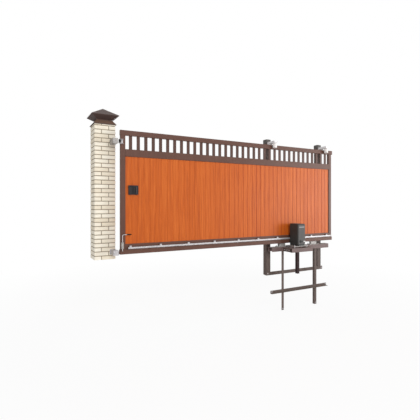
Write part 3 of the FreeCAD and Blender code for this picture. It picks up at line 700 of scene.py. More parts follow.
# Lighter than the plate: a painted highlight along the grip's rounded side.
LOCK_BAR_HIGHLIGHT = MouldedPlastic("lock_bar_painted_highlight", Slot.BLACK_PLASTIC, srgb(60, 55, 58), 0.42)
GRIP = MouldedPlastic("black_grip", Slot.BLACK_PLASTIC, srgb(24, 22, 22), 0.6, 900.0, 0.05, 0.15)
DARK_CAP = MouldedPlastic("dark_post_cap", Slot.DARK_CAP, srgb(82, 78, 74), 0.5)
COVER = MouldedPlastic("dark_motor_cover", Slot.MOTOR_GREY, srgb(57, 58, 57), 0.5, 800.0)
COVER_FRONT = MouldedPlastic("grey_cover_front", Slot.MOTOR_GREY, srgb(88, 86, 85), 0.55, 800.0, 0.08, 0.24)
STRIP = MouldedPlastic("pale_cover_strip", Slot.PALE_STRIP, srgb(146, 145, 145), 0.4, 500.0, 0.04)
RUBBER = BlackRubber("black_rubber_tyre", Slot.BLACK_RUBBER, srgb(36, 34, 33), srgb(70, 67, 64))
GEAR = MachinedSteel("cut_gear_steel", Slot.GEAR_STEEL, srgb(150, 148, 146), srgb(78, 70, 60))


class Draft:
    """A mesh in the making, in the row frame."""

    def __init__(self, name: str) -> None:
        """Start an empty mesh."""
        self.name = name
        self.mesh = bmesh.new()
        self.tones = self.mesh.faces.layers.float.new("tone")

    def face(self, corners: Sequence[bmesh.types.BMVert], tone: float) -> None:
        """Add a face with its tone."""
        self.mesh.faces.new(corners)[self.tones] = tone

    def ring(self, points: Sequence[Vector]) -> list[bmesh.types.BMVert]:
        """Add a ring of points and return it."""
        return [self.mesh.verts.new(point) for point in points]

    def bands(self, rings: Sequence[list[bmesh.types.BMVert]], tones: Sequence[float]) -> None:
        """Join each ring to the next.

        Args:
            rings: Rings of the same number of points.
            tones: Tones of the faces, one for each point of a ring.
        """
        for low, high in zip(rings, rings[1:]):
            for index, tone in enumerate(tones):
                after = (index + 1) % len(low)
                self.face((low[index], low[after], high[after], high[index]), tone)

    def skin(self, rings: Sequence[list[bmesh.types.BMVert]], tone: float = PLAIN_TONE) -> None:
        """Close a row of rings into a solid.

        Args:
            rings: Rings of the same number of points.
            tone: Tone of its faces.
        """
        self.bands(rings, [tone] * len(rings[0]))
        self.face(rings[0][::-1], tone)
        self.face(rings[-1], tone)

    def turned_rings(
        self, centre: Point, facing: Facing, profile: Sequence[Span], sides: int
    ) -> list[list[bmesh.types.BMVert]]:
        """Add the rings of a turned body.

        Args:
            centre: Middle of its seat.
            facing: Way that it stands.
            profile: Pairs of radius and height above the seat.
            sides: Number of sides.

        Returns:
            One ring for each pair.
        """
        way = Vector(facing.value)
        first = way.orthogonal().normalized()
        second = way.cross(first)
        turns = [2.0 * math.pi * index / sides for index in range(sides)]
        spokes = [first * math.cos(turn) + second * math.sin(turn) for turn in turns]
        rings = []
        for radius, height in profile:
            seat = Vector(centre) + way * height
            rings.append(self.ring([seat + spoke * radius for spoke in spokes]))
        return rings

    def turned(self, centre: Point, facing: Facing, profile: Sequence[Span], sides: int) -> None:
        """Add a turned or many-sided body.

        Args:
            centre: Middle of its seat.
            facing: Way that it stands.
            profile: Pairs of radius and height above the seat.
            sides: Number of sides.
        """
        self.skin(self.turned_rings(centre, facing, profile, sides))

    def hoop(self, centre: Point, facing: Facing, profile: Sequence[Span], sides: int) -> None:
        """Add a turned ring with a hole.

        Args:
            centre: Middle of its seat.
            facing: Way that it stands.
            profile: Pairs of radius and height above the seat, round its section.
            sides: Number of sides.
        """
        rings = self.turned_rings(centre, facing, profile, sides)
        self.bands([*rings, rings[0]], [PLAIN_TONE] * sides)

    def slab(self, low: Point, high: Point, corner: float, edge: float, steps: int = 6) -> None:
        """Add a plate that faces the front, with round corners and a bevelled front edge.

        Args:
            low: Lowest corner, on the front face.
            high: Highest corner, on the back face.
            corner: Radius of the corners.
            edge: Width of the bevel.
            steps: Divisions of each corner.
        """
        quarters = ((1, 1, 0.0), (-1, 1, 0.5), (-1, -1, 1.0), (1, -1, 1.5))
        middle = ((low[0] + high[0]) / 2.0, (low[2] + high[2]) / 2.0)
        reach = ((high[0] - low[0]) / 2.0 - corner, (high[2] - low[2]) / 2.0 - corner)
        rings = []
        for depth, radius in ((high[1], corner), (low[1] + edge, corner), (low[1], corner - edge)):
            points = []
            for across, up, start in quarters:
                for step in range(steps + 1):
                    turn = math.pi * (start + 0.5 * step / steps)
                    x = middle[0] + across * reach[0] + radius * math.cos(turn)
                    z = middle[1] + up * reach[1] + radius * math.sin(turn)
                    points.append(Vector((x, depth, z)))
            rings.append(self.ring(points))
        self.skin(rings)

    def worn_block(
        self,
        low: Point,
        high: Point,
        cuts: tuple[int, int, int],
        arris: float,
        wear: float = 0.0,
        seed: float = 0.0,
        tone: float = PLAIN_TONE,
    ) -> None:
        """Add a block with rounded arrises and an uneven face.

        Args:
            low: Lowest corner.
            high: Highest corner.
            cuts: Divisions between the arrises along each axis.
            arris: Radius of the arrises.
            wear: Most that the face is worn back.
            seed: Place in the noise.
            tone: Tone of its faces.
        """
        marks = []
        for start, end, cut in zip(low, high, cuts):
            inner = (end - start - 2.0 * arris) / cut
            marks.append([start] + [start + arris + inner * step for step in range(cut + 1)] + [end])
        last = [len(row) - 1 for row in marks]
        shift = Vector((seed, seed * WEAR_SLANT, 0.0))
        corners: dict[tuple[int, ...], bmesh.types.BMVert] = {}

        def corner(index: tuple[int, ...]) -> bmesh.types.BMVert:
            """Return the point at an index, made on first use."""
            if index not in corners:
                point = Vector([row[place] for row, place in zip(marks, index)])
                core = Vector([min(max(p, a + arris), b - arris) for p, a, b in zip(point, low, high)])
                out = (point - core).normalized()
                hollow = 0.5 + 0.5 * noise.noise(point * WEAR_SCALE + shift)
                corners[index] = self.mesh.verts.new(core + out * (arris - wear * hollow))
            return corners[index]

        for axis in range(3):
            along, up = (axis + 1) % 3, (axis + 2) % 3
            for side in (0, last[axis]):
                for first in range(last[along]):
                    for second in range(last[up]):
                        face = []
                        for one, two in ((0, 0), (1, 0), (1, 1), (0, 1)):
                            index = [0, 0, 0]
                            index[axis], index[along], index[up] = side, first + one, second + two
                            face.append(corner(tuple(index)))
                        self.face(face, tone)

    def settle(self, finish: Finish, body: Body, replaced: Sequence[str] = (), crease: float = 32.0) -> None:
        """Turn the mesh into a piece that rides on a body.

        Args:
            finish: Its finish.
            body: The body that it rides on.
            replaced: Nodes that it stands for.
            crease: Angle in degrees above which an edge stays sharp.
        """
        data = bpy.data.meshes.new(self.name)
        bmesh.ops.recalc_face_normals(self.mesh, faces=self.mesh.faces)
        self.mesh.to_mesh(data)
        self.mesh.free()
        data.shade_smooth()
        data.set_sharp_from_angle(angle=math.radians(crease))
        data.materials.append(finish.material())
        piece = bpy.data.objects.new(self.name, data)
        bpy.context.scene.collection.objects.link(piece)
        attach(piece, body.value)
        if replaced:
            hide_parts(*replaced)
        LOG.info("%s: %d faces on %s", self.name, len(data.polygons), body.value)


@dataclass(frozen=True)
class Fastener:
    """A hexagon bolt or nut on a washer, with the end of its thread."""

    flats: float
    height: float
    washer: float = 0.0
    washer_height: float = 0.002
    thread: float = 0.0
    thread_end: float = 0.0
    washer_edge: float = 0.0006
    washer_wall: float = 0.7
    washer_sides: int = 24
    chamfer: float = 0.09
    crown: float = 0.86
    thread_root: float = 0.001
    thread_chamfer: float = 0.0012
    thread_tip: float = 0.8
    thread_sides: int = 16

    def add_to(self, draft: Draft, centre: Point, facing: Facing) -> None:
        """Add the fastener to a mesh.

        Args:
            draft: The mesh.
            centre: Middle of its seat.
            facing: Way that its head faces.
        """
        seat = 0.0
        if self.washer:
            edge = self.washer / 2.0
            seat = self.washer_height
            ring = ((edge, 0.0), (edge, seat * self.washer_wall), (edge - self.washer_edge, seat))
            draft.turned(centre, facing, ring, self.washer_sides)
        corner = self.flats / 2.0 / math.cos(math.pi / 6.0)
        top = seat + self.height
        shoulder = top - self.flats * self.chamfer
        draft.turned(centre, facing, ((corner, seat), (corner, shoulder), (corner * self.crown, top)), 6)
        if self.thread:
            radius = self.thread / 2.0
            end = top + self.thread_end
            root, shoulder = top - self.thread_root, end - self.thread_chamfer
            stud = ((radius, root), (radius, shoulder), (radius * self.thread_tip, end))
            draft.turned(centre, facing, stud, self.thread_sides)


@dataclass(frozen=True)
class PanScrew:
    """A pan head screw with a round socket at its middle."""

    diameter: float
    height: float
    sides: int = 16
    profile: tuple[Span, ...] = ((1.0, 0.0), (1.0, 0.45), (0.82, 0.85), (0.4, 1.0), (0.3, 0.55))

    def add_to(self, draft: Draft, centre: Point, facing: Facing) -> None:
        """Add the screw to a mesh.

        Args:
            draft: The mesh.
            centre: Middle of its seat.
            facing: Way that its head faces.
        """
        edge, top = self.diameter / 2.0, self.height
        head = [(edge * across, top * up) for across, up in self.profile]
        draft.turned(centre, facing, head, self.sides)


class Assembly:
    """A sub-assembly of the gate."""

    def coat(self, finish: Finish, *nodes: str) -> None:
        """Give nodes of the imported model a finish.

        Args:
            finish: The finish.
            nodes: Names of the nodes.
        """
        for name in nodes:
            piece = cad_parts[name]
            if not piece.material_slots:
                piece.data.materials.append(finish.material())
            for place in piece.material_slots:
                place.material = finish.material()
            LOG.info("%s: %s", name, finish.name)

    def build(self) -> None:
        """Build and dress the sub-assembly."""
        raise NotImplementedError


@dataclass
class BrickPillar(Assembly):
    """The brick pillar: four bricks to a course, turned in every other course, around a mortar core."""

    course: float = 0.0769
    length: float = 0.25
    width: float = 0.12
    bed: float = 0.012
    arris: float = 0.006
    wear: float = 0.0022
    recess: float = 0.007
    long_cuts: tuple[int, int, int] = (6, 3, 2)
    cross_cuts: tuple[int, int, int] = (3, 6, 2)
    crease: float = 50.0
    core_arris: float = 0.004
    core_wear: float = 0.002
    core_cuts: tuple[int, int, int] = (9, 9, 64)
    core_foot: float = 0.002
    core_head: float = 0.0005
    core_seed: float = 5.0
    seed: int = 23
    seed_reach: float = 90.0

    def plan(self, edge: float, turned: bool) -> list[tuple[Span, Span]]:
        """Return the four bricks of a course.

        Args:
            edge: Half of the pillar's side.
            turned: Whether the course is the turned one.

        Returns:
            Pairs of limits along X and Y.
        """
        inner, end = edge - self.width, edge - self.length
        bricks = [
            ((end, edge), (-edge, -inner)),
            ((-edge, -inner), (-edge, -end)),
            ((-edge, -end), (inner, edge)),
            ((inner, edge), (end, edge)),
        ]
        if turned:
            bricks = [((-x[1], -x[0]), y) for x, y in bricks]
        return bricks

    def lay_bricks(self, edge: float, top: float) -> None:
        """Lay the bricks, with a split course under the cap.

        Args:
            edge: Half of the pillar's side.
            top: Height of the pillar.
        """
        chance = random.Random(self.seed)
        bricks = Draft("facing_bricks")
        for number in range(math.ceil(top / self.course)):
            low = number * self.course
            high = min(low + self.course - self.bed, top)
            for x, y in self.plan(edge, number % 2 == 1):
                cuts = self.long_cuts if x[1] - x[0] > y[1] - y[0] else self.cross_cuts
                seed = chance.uniform(0.0, self.seed_reach)
                corners = ((x[0], y[0], low), (x[1], y[1], high))
                bricks.worn_block(*corners, cuts, self.arris, self.wear, seed, chance.random())
        bricks.settle(BRICK, Body.STAND, ("pillar",), self.crease)

    def fill_joints(self, edge: float, top: float) -> None:
        """Build the mortar that shows between the bricks.

        Args:
            edge: Half of the pillar's side.
            top: Height of the pillar.
        """
        core = Draft("mortar_joints")
        side = edge - self.recess
        corners = ((-side, -side, self.core_foot), (side, side, top - self.core_head))
        core.worn_block(*corners, self.core_cuts, self.core_arris, self.core_wear, self.core_seed)
        core.settle(MORTAR, Body.STAND)

    def build(self) -> None:
        """Build the bricks and the mortar, and coat the cap."""
        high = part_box("pillar")[1]
        self.lay_bricks(high.x, high.z)
        self.fill_joints(high.x, high.z)
        self.coat(CAP_COAT, "pillar_cap")


@dataclass
class BoardPanel(Assembly):
    """The upright boards in the leaf, with a groove between each two."""

    boards: int = 44
    groove: float = 0.009
    groove_depth: float = 0.004
    # Boards over which the painted groove shade rises from none to full.
    faint_boards: int = 12
    full_boards: int = 26
    proud: float = 0.0006
    crease: float = 20.0
    seed: int = 7

    def groove_shade_tone(self, number: int) -> float:
        """Return the tone of a board's grooves, whose painted shade deepens towards the leaf's tail."""
        share = (number - self.faint_boards) / (self.full_boards - self.faint_boards)
        return 1.0 + min(max(share, 0.0), 1.0)

    def profile(self, left: float, right: float, front: float, back: float) -> list[Span]:
        """Return the outline of a board seen from above.

        Args:
            left: Its left edge.
            right: Its right edge.
            front: Its front face.
            back: Its back face.

        Returns:
            Points along X and Y.
        """
        chamfer, depth = self.groove / 2.0, self.groove_depth
        return [
            (left + chamfer, front),
            (right - chamfer, front),
            (right, front + depth),
            (right, back - depth),
            (right - chamfer, back),
            (left + chamfer, back),
            (left, back - depth),
            (left, front + depth),
        ]

    def build(self) -> None:
        """Build the boards in the panel's place."""
        low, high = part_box("infill_panel")
        pitch = (high.x - low.x) / self.boards
        chance = random.Random(self.seed)
        panel = Draft("upright_boards")
        for number in range(self.boards):
            left = low.x + number * pitch
            front = low.y + chance.uniform(0.0, self.proud)
            outline = self.profile(left, left + pitch, front, high.y)
            tone = chance.random()
            # The grooves' tone carries their share of painted shade.
            groove = self.groove_shade_tone(number)
            rings = [panel.ring([Vector((x, y, z)) for x, y in outline]) for z in (low.z, high.z)]
            panel.bands(rings, [tone, groove, groove, groove, tone, groove, groove, groove])
            panel.face(rings[0][::-1], tone)
            panel.face(rings[1], tone)
        panel.settle(BOARD, Body.LEAF, ("infill_panel",), self.crease)


@dataclass
class LeafFrame(Assembly):
    """The leaf's welded frame, pickets, guide beam and plugs."""

    def build(self) -> None:
        """Coat the frame."""
        self.coat(LEAF_PAINT, "top_rail", "middle_rail", "bottom_rail", "stiles")
        self.coat(LEAF_PAINT, "guide_beam", "end_plugs")
        self.coat(PICKET_PAINT, "pickets")


@dataclass
class RackDrive(Assembly):
    """The gear rack with its fixing bolts, and the pinion."""

    bolt: Fastener = Fastener(0.013, 0.0055, 0.022, 0.0018)

    def build(self) -> None:
        """Build the bolts and coat the rack and pinion."""
        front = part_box("gear_rack")[0].y
        bolts = Draft("rack_bolts")
        for low, high in solids("rack_spacers"):
            middle = (low + high) / 2.0
            self.bolt.add_to(bolts, (middle.x, front, middle.z), Facing.FRONT)
        bolts.settle(ZINC, Body.LEAF)
        self.coat(ZINC, "gear_rack", "rack_spacers")
        self.coat(GEAR, "pinion")


@dataclass
class GuidePosts(Assembly):
    """The two guide posts with caps, brackets and rollers."""

    plate: float = 0.008
    bolt_spread: float = 0.027
    bolt: Fastener = Fastener(0.017, 0.0075, 0.022)
    pin_nut: Fastener = Fastener(0.022, 0.011, 0.027, 0.0025)
    seal_inner: float = 0.0095
    seal_outer: float = 0.024
    seal_height: float = 0.0025
    seal_edge: float = 0.002
    seal_wall: float = 0.4
    seal_sides: int = 32

    def bolt_brackets(self) -> None:
        """Build the bolts that hold the brackets to the posts."""
        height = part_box("top_rail")[1].z
        bolts = Draft("bracket_bolts")
        for low, high in solids("guide_brackets"):
            middle = (low.x + high.x) / 2.0
            for side in (-self.bolt_spread, self.bolt_spread):
                self.bolt.add_to(bolts, (middle + side, high.y - self.plate, height), Facing.FRONT)
        bolts.settle(ZINC, Body.STAND)

    def seal_roller(self, body: Body, nuts: Draft) -> None:
        """Build the bearing seals of a roller and the nut under it, and coat the roller.

        Args:
            body: The roller's body.
            nuts: The mesh that takes the nut.
        """
        node = body.value.replace("_roller", "_guide_roller")
        low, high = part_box(node)
        middle = (low + high) / 2.0
        inner, outer, thick = self.seal_inner, self.seal_outer, self.seal_height
        rim = ((outer, -thick), (outer, thick * self.seal_wall), (outer - self.seal_edge, thick))
        section = ((inner, -thick), *rim, (inner, thick))
        seals = Draft(body.value + "_seals")
        seals.hoop((middle.x, middle.y, high.z), Facing.UP, section, self.seal_sides)
        seals.hoop((middle.x, middle.y, low.z), Facing.DOWN, section, self.seal_sides)
        seals.settle(GEAR, body)
        self.pin_nut.add_to(nuts, (middle.x, middle.y, low.z - thick), Facing.DOWN)
        self.coat(NYLON, node)

    def build(self) -> None:
        """Build bolts, seals and nuts, and coat posts, caps, brackets and rollers."""
        self.bolt_brackets()
        nuts = Draft("roller_nuts")
        for body in (
            Body.LEFT_NEAR_ROLLER,
            Body.LEFT_FAR_ROLLER,
            Body.RIGHT_NEAR_ROLLER,
            Body.RIGHT_FAR_ROLLER,
        ):
            self.seal_roller(body, nuts)
        nuts.settle(ZINC, Body.STAND)
        self.coat(POST_PAINT, "posts")
        self.coat(DARK_CAP, "post_caps")
        self.coat(PALE_ZINC, "guide_brackets")


@dataclass
class Foundation(Assembly):
    """The buried frame under the carriages and the motor's platform."""

    wall: float = 0.006
    end_inset: float = 0.036
    bearer_shares: tuple[float, ...] = (0.2, 0.5, 0.8)
    bolt: Fastener = Fastener(0.019, 0.008, 0.028, 0.0025)

    def bolt_bars(self, bolts: Draft) -> None:
        """Add the bolts near the ends of the cross bar and the tie.

        Args:
            bolts: The mesh that takes them.
        """
        for node, behind in (("cross_bar", True), ("post_tie", False)):
            low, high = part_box(node)
            face = high.y - self.wall if behind else low.y
            height = (low.z + self.wall + high.z) / 2.0
            for x in (low.x + self.end_inset, high.x - self.end_inset):
                self.bolt.add_to(bolts, (x, face, height), Facing.FRONT)

    def bolt_legs(self, bolts: Draft) -> None:
        """Add a bolt near the foot of each leg.

        Args:
            bolts: The mesh that takes them.
        """
        for low, high in solids("legs"):
            middle = (low.x + high.x) / 2.0
            self.bolt.add_to(bolts, (middle, low.y, low.z + self.end_inset), Facing.FRONT)

    def bolt_bearers(self, bolts: Draft) -> None:
        """Add the bolts on the outer sides of the platform's bearers.

        Args:
            bolts: The mesh that takes them.
        """
        left, right = solids("platform_bearers")
        height = (left[0].z + left[1].z) / 2.0
        for share in self.bearer_shares:
            depth = left[0].y + share * (left[1].y - left[0].y)
            self.bolt.add_to(bolts, (left[0].x, depth, height), Facing.LEFT)
            self.bolt.add_to(bolts, (right[1].x, depth, height), Facing.RIGHT)

    def build(self) -> None:
        """Build the bolts and coat the frame."""
        bolts = Draft("foundation_bolts")
        self.bolt_bars(bolts)
        self.bolt_legs(bolts)
        self.bolt_bearers(bolts)
        bolts.settle(ZINC, Body.STAND)
        self.coat(POST_PAINT, "legs", "cross_bar", "post_tie", "post_links", "platform_bearers")
        self.coat(FRAME_PAINT, "carriage_channel", "platform_channel")
        self.coat(DARK_PAINT, "platform_leg")


@dataclass
class Carriages(Assembly):
    """The two roller carriages with the nuts that hold them down."""

    reach: float = 0.126
    spread: float = 0.034
    base: float = 0.01
    nut: Fastener = Fastener(0.019, 0.01, 0.026, 0.0025, 0.012, 0.012)

    def build(self) -> None:
        """Build the nuts and coat carriages and wheels."""
        nuts = Draft("carriage_nuts")
        for low, high in solids("carriages"):
            middle = (low + high) / 2.0
            for along in (-self.reach, self.reach):
                for across in (-self.spread, self.spread):
                    place = (middle.x + along, middle.y + across, low.z + self.base)
                    self.nut.add_to(nuts, place, Facing.UP)
        nuts.settle(DARK_ZINC, Body.STAND)
        self.coat(DULL_ZINC, "carriages")
        self.coat(GEAR, "carriage_wheels")


@dataclass
class MotorUnit(Assembly):
    """The motor on its base plate: cover front and back, release knob, stud nuts and cover screws."""

    stud_inset: float = 0.022
    back_inset: float = 0.0075
    plate: float = 0.01
    front_nut: Fastener = Fastener(0.019, 0.01, 0.026, 0.0025, 0.012, 0.012)
    back_nut: Fastener = Fastener(0.014, 0.007)
    panel_inset: float = 0.012
    panel_foot: float = 0.045
    panel_head: float = 0.022
    panel_proud: float = 0.0018
    panel_root: float = 0.001
    panel_corner: float = 0.008
    panel_edge: float = 0.001
    screw: PanScrew = PanScrew(0.009, 0.003)
    screw_inset: float = 0.014
    ring_width: float = 0.007
    ring_height: float = 0.008
    ring_edge: float = 0.003
    ring_wall: float = 0.6
    ring_sides: int = 40
    lever: float = 0.014
    lever_share: float = 0.5
    sleeve_wall: float = 0.0018
    sleeve_cuts: tuple[int, int, int] = (4, 2, 2)
    sleeve_arris: float = 0.004
    back_start: float = 0.034
    back_reach: float = 0.022
    back_lip: float = 0.0015
    back_foot: float = 0.005
    back_edge: float = 0.004
    back_corner: float = 0.012
    corner_steps: int = 5
    arch_room: float = 0.011
    arch_steps: int = 20

    def fix_base(self) -> None:
        """Build the nuts on the base plate's studs."""
        low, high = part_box("motor_base_plate")
        nuts = Draft("base_plate_nuts")
        for x in (low.x + self.stud_inset, high.x - self.stud_inset):
            front = low.y + self.stud_inset
            self.front_nut.add_to(nuts, (x, front, high.z), Facing.UP)
            self.front_nut.add_to(nuts, (x, front, high.z - self.plate), Facing.DOWN)
            self.back_nut.add_to(nuts, (x, high.y - self.back_inset, high.z), Facing.UP)
        nuts.settle(ZINC, Body.STAND)
        self.coat(DULL_ZINC, "motor_base_plate")

    def dress_cover(self) -> None:
        """Build the cover's front panel and its screws, and coat the cover and strip."""
        low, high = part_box("motor_housing")
        left, right = low.x + self.panel_inset, high.x - self.panel_inset
        foot, head = low.z + self.panel_foot, high.z - self.panel_head
        front = low.y - self.panel_proud
        panel = Draft("cover_front_panel")
        corners = ((left, front, foot), (right, low.y + self.panel_root, head))
        panel.slab(*corners, self.panel_corner, self.panel_edge)
        panel.settle(COVER_FRONT, Body.STAND)
        screws = Draft("cover_screws")
        for x in (left + self.screw_inset, right - self.screw_inset):
            self.screw.add_to(screws, (x, front, foot + self.screw_inset), Facing.FRONT)
        screws.settle(ZINC, Body.STAND)
        self.coat(COVER, "motor_housing")
        self.coat(STRIP, "motor_strip")

    def back_outline(self, inset: float) -> list[Span]:
        """Return the outline of the cover's back, which is arched over the pinion.

        Args:
            inset: Distance that the outline is drawn in.

        Returns:
            Pairs of place along the leaf and height.
        """
        low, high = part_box("motor_housing")
        gear_low, gear_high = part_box("pinion")
        axis = (gear_low + gear_high) / 2.0
        arch = gear_high.z - axis.z + self.arch_room + inset
        grown = self.back_lip - inset
        left, right, top = low.x - grown, high.x + grown, high.z + grown
        foot = low.z + self.back_foot + inset
        corner = self.back_corner
        points = [(left, foot)]
        for middle, start in ((left + corner, 1.0), (right - corner, 0.5)):
            for step in range(self.corner_steps + 1):
                turn = math.pi * (start - 0.5 * step / self.corner_steps)
                points.append((middle + corner * math.cos(turn), top - corner + corner * math.sin(turn)))
        points += [(right, foot), (axis.x + arch, foot)]
        for step in range(self.arch_steps + 1):
            turn = math.pi * step / self.arch_steps
            points.append((axis.x + arch * math.cos(turn), axis.z + arch * math.sin(turn)))
        return [*points, (axis.x - arch, foot)]

    def close_back(self) -> None:
        """Build the cover's back, which reaches over the pinion towards the rack."""
        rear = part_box("motor_housing")[1].y
        end = rear + self.back_reach
        back = Draft("cover_back")
        sections = ((rear - self.back_start, 0.0), (end - self.back_edge, 0.0), (end, self.back_edge))
        rings = []
        for depth, inset in sections:
            rings.append(back.ring([Vector((x, depth, z)) for x, z in self.back_outline(inset)]))
        back.skin(rings)
        back.settle(COVER, Body.STAND)

    def dress_knob(self) -> None:
        """Build the knob's ring and the lever's sleeve, and coat the knob."""
        low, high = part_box("release_knob")
        radius = (high.z - low.z) / 2.0
        axis = (low.x + radius, high.y, low.z + radius)
        outer, top = radius + self.ring_width, self.ring_height
        rim = ((outer, 0.0), (outer, top * self.ring_wall), (outer - self.ring_edge, top))
        section = ((radius, 0.0), *rim, (radius, top))
        ring = Draft("knob_ring")
        ring.hoop(axis, Facing.FRONT, section, self.ring_sides)
        ring.settle(BLACK, Body.STAND)
        wall = self.sleeve_wall
        thick = self.lever / 2.0 + wall
        start = axis[0] + self.lever_share * (high.x - axis[0])
        near = low.y - wall
        sleeve = Draft("lever_sleeve")
        corners = ((start, near, axis[2] - thick), (high.x + wall, near + 2.0 * thick, axis[2] + thick))
        sleeve.worn_block(*corners, self.sleeve_cuts, self.sleeve_arris)
        sleeve.settle(NYLON, Body.STAND)
        self.coat(COVER, "release_knob")

    def build(self) -> None:
        """Build the motor's small pieces and coat it."""
        self.fix_base()
        self.dress_cover()
        self.close_back()
        self.dress_knob()


@dataclass
class LockSet(Assembly):
    """The lock plate with its grip and screws."""

    inset: float = 0.009
    screw: PanScrew = PanScrew(0.008, 0.003)

    def build(self) -> None:
        """Build the screws and coat plate and grip."""
        low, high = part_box("lock_plate")
        screws = Draft("lock_screws")
        for x in (low.x + self.inset, high.x - self.inset):
            for z in (low.z + self.inset, high.z - self.inset):
                self.screw.add_to(screws, (x, low.y, z), Facing.FRONT)
        screws.settle(BLACK, Body.LEAF)
        self.coat(BLACK, "lock_plate")
        # The grip's lighter grey is a painted highlight.
        self.coat(LOCK_BAR_HIGHLIGHT, "lock_grip")


@dataclass
class DropBolt(Assembly):
    """The drop bolt with its grip and sleeve."""

    dome: float = 0.006
    dome_turns: tuple[float, ...] = (0.0, 0.4, 0.8, 1.15, 1.45)
    dome_sides: int = 24
    screw: PanScrew = PanScrew(0.009, 0.0035)
    screw_inset: float = 0.02

    def build(self) -> None:
        """Build the grip's domed end and the sleeve's screws, and coat the bolt."""
        low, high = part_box("drop_bolt_grip")
        radius = (high.z - low.z) / 2.0
        middle = (low + high) / 2.0
        round_end = [(radius * math.cos(turn), self.dome * math.sin(turn)) for turn in self.dome_turns]
        cap = Draft("grip_end")
        cap.turned((high.x, middle.y, middle.z), Facing.RIGHT, round_end, self.dome_sides)
        cap.settle(GRIP, Body.DROP_BOLT)
        low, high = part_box("drop_bolt_sleeve")
        screws = Draft("sleeve_screws")
        for z in (low.z + self.screw_inset, high.z - self.screw_inset):
            self.screw.add_to(screws, ((low.x + high.x) / 2.0, low.y, z), Facing.FRONT)
        screws.settle(ZINC, Body.LEAF)
        self.coat(ZINC, "drop_bolt")
        self.coat(DULL_ZINC, "drop_bolt_sleeve")
        self.coat(GRIP, "drop_bolt_grip")


@dataclass
class EndCatchers(Assembly):
    """The rollers at the closing end and the catchers on the pillar."""

    sheet: float = 0.006
    anchor_share: float = 0.24
    upper_anchor_inset: float = 0.05
    lower_anchor_inset: float = 0.04
    anchor: Fastener = Fastener(0.017, 0.0085, 0.024, 0.0022, 0.01, 0.008)
    plate_thickness: float = 0.005
    plate_inset: float = 0.014
    plate_spread: float = 0.012
    plate_bolt: Fastener = Fastener(0.01, 0.0045, 0.015, 0.0015)

    def anchor_catchers(self) -> None:
        """Build the anchors that hold the catchers to the pillar."""
        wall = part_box("pillar")[0].y - self.sheet
        anchors = Draft("catcher_anchors")
        insets = {"upper_catcher": self.upper_anchor_inset, "lower_catcher": self.lower_anchor_inset}
        for node, inset in insets.items():
            low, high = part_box(node)
            x = min(high.x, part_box("pillar")[1].x) - inset
            for share in (self.anchor_share, 1.0 - self.anchor_share):
                self.anchor.add_to(anchors, (x, wall, low.z + share * (high.z - low.z)), Facing.FRONT)
        anchors.settle(ZINC, Body.STAND)

    def build(self) -> None:
        """Build anchors and bolts and coat the catchers and rollers."""
        self.anchor_catchers()
        low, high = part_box("upper_end_bracket")
        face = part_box("stiles")[0].y - self.plate_thickness
        height = (low.z + high.z) / 2.0
        bolts = Draft("end_plate_bolts")
        for side in (-self.plate_spread, self.plate_spread):
            self.plate_bolt.add_to(bolts, (high.x - self.plate_inset, face, height + side), Facing.FRONT)
        bolts.settle(ZINC, Body.LEAF)
        self.coat(ZINC, "lower_catcher", "upper_end_bracket")
        self.coat(DULL_ZINC, "upper_catcher")
        self.coat(LEAF_PAINT, "lower_end_fork")
        self.coat(RUBBER, "upper_end_roller")
        self.coat(GEAR, "lower_end_roller")


@dataclass(frozen=True)
class Softbox:
    """A large soft lamp."""

    name: str
    way: Point
    distance: float
    width: float
    height: float
    power: float

    def hang(self, aim: Point) -> None:
        """Hang the lamp.

        Args:
            aim: Point that it is turned to.
        """
        lamp = bpy.data.lights.new(self.name, "AREA")
        lamp.shape = "RECTANGLE"
        lamp.size = self.width
        lamp.size_y = self.height
        lamp.energy = self.power
        box = bpy.data.objects.new(self.name, lamp)
        way = Vector(self.way).normalized()
        box.location = Vector(aim) + way * self.distance
        box.rotation_euler = (-way).to_track_quat("-Z", "Y").to_euler()
        box.visible_camera = False
        bpy.context.scene.collection.objects.link(box)


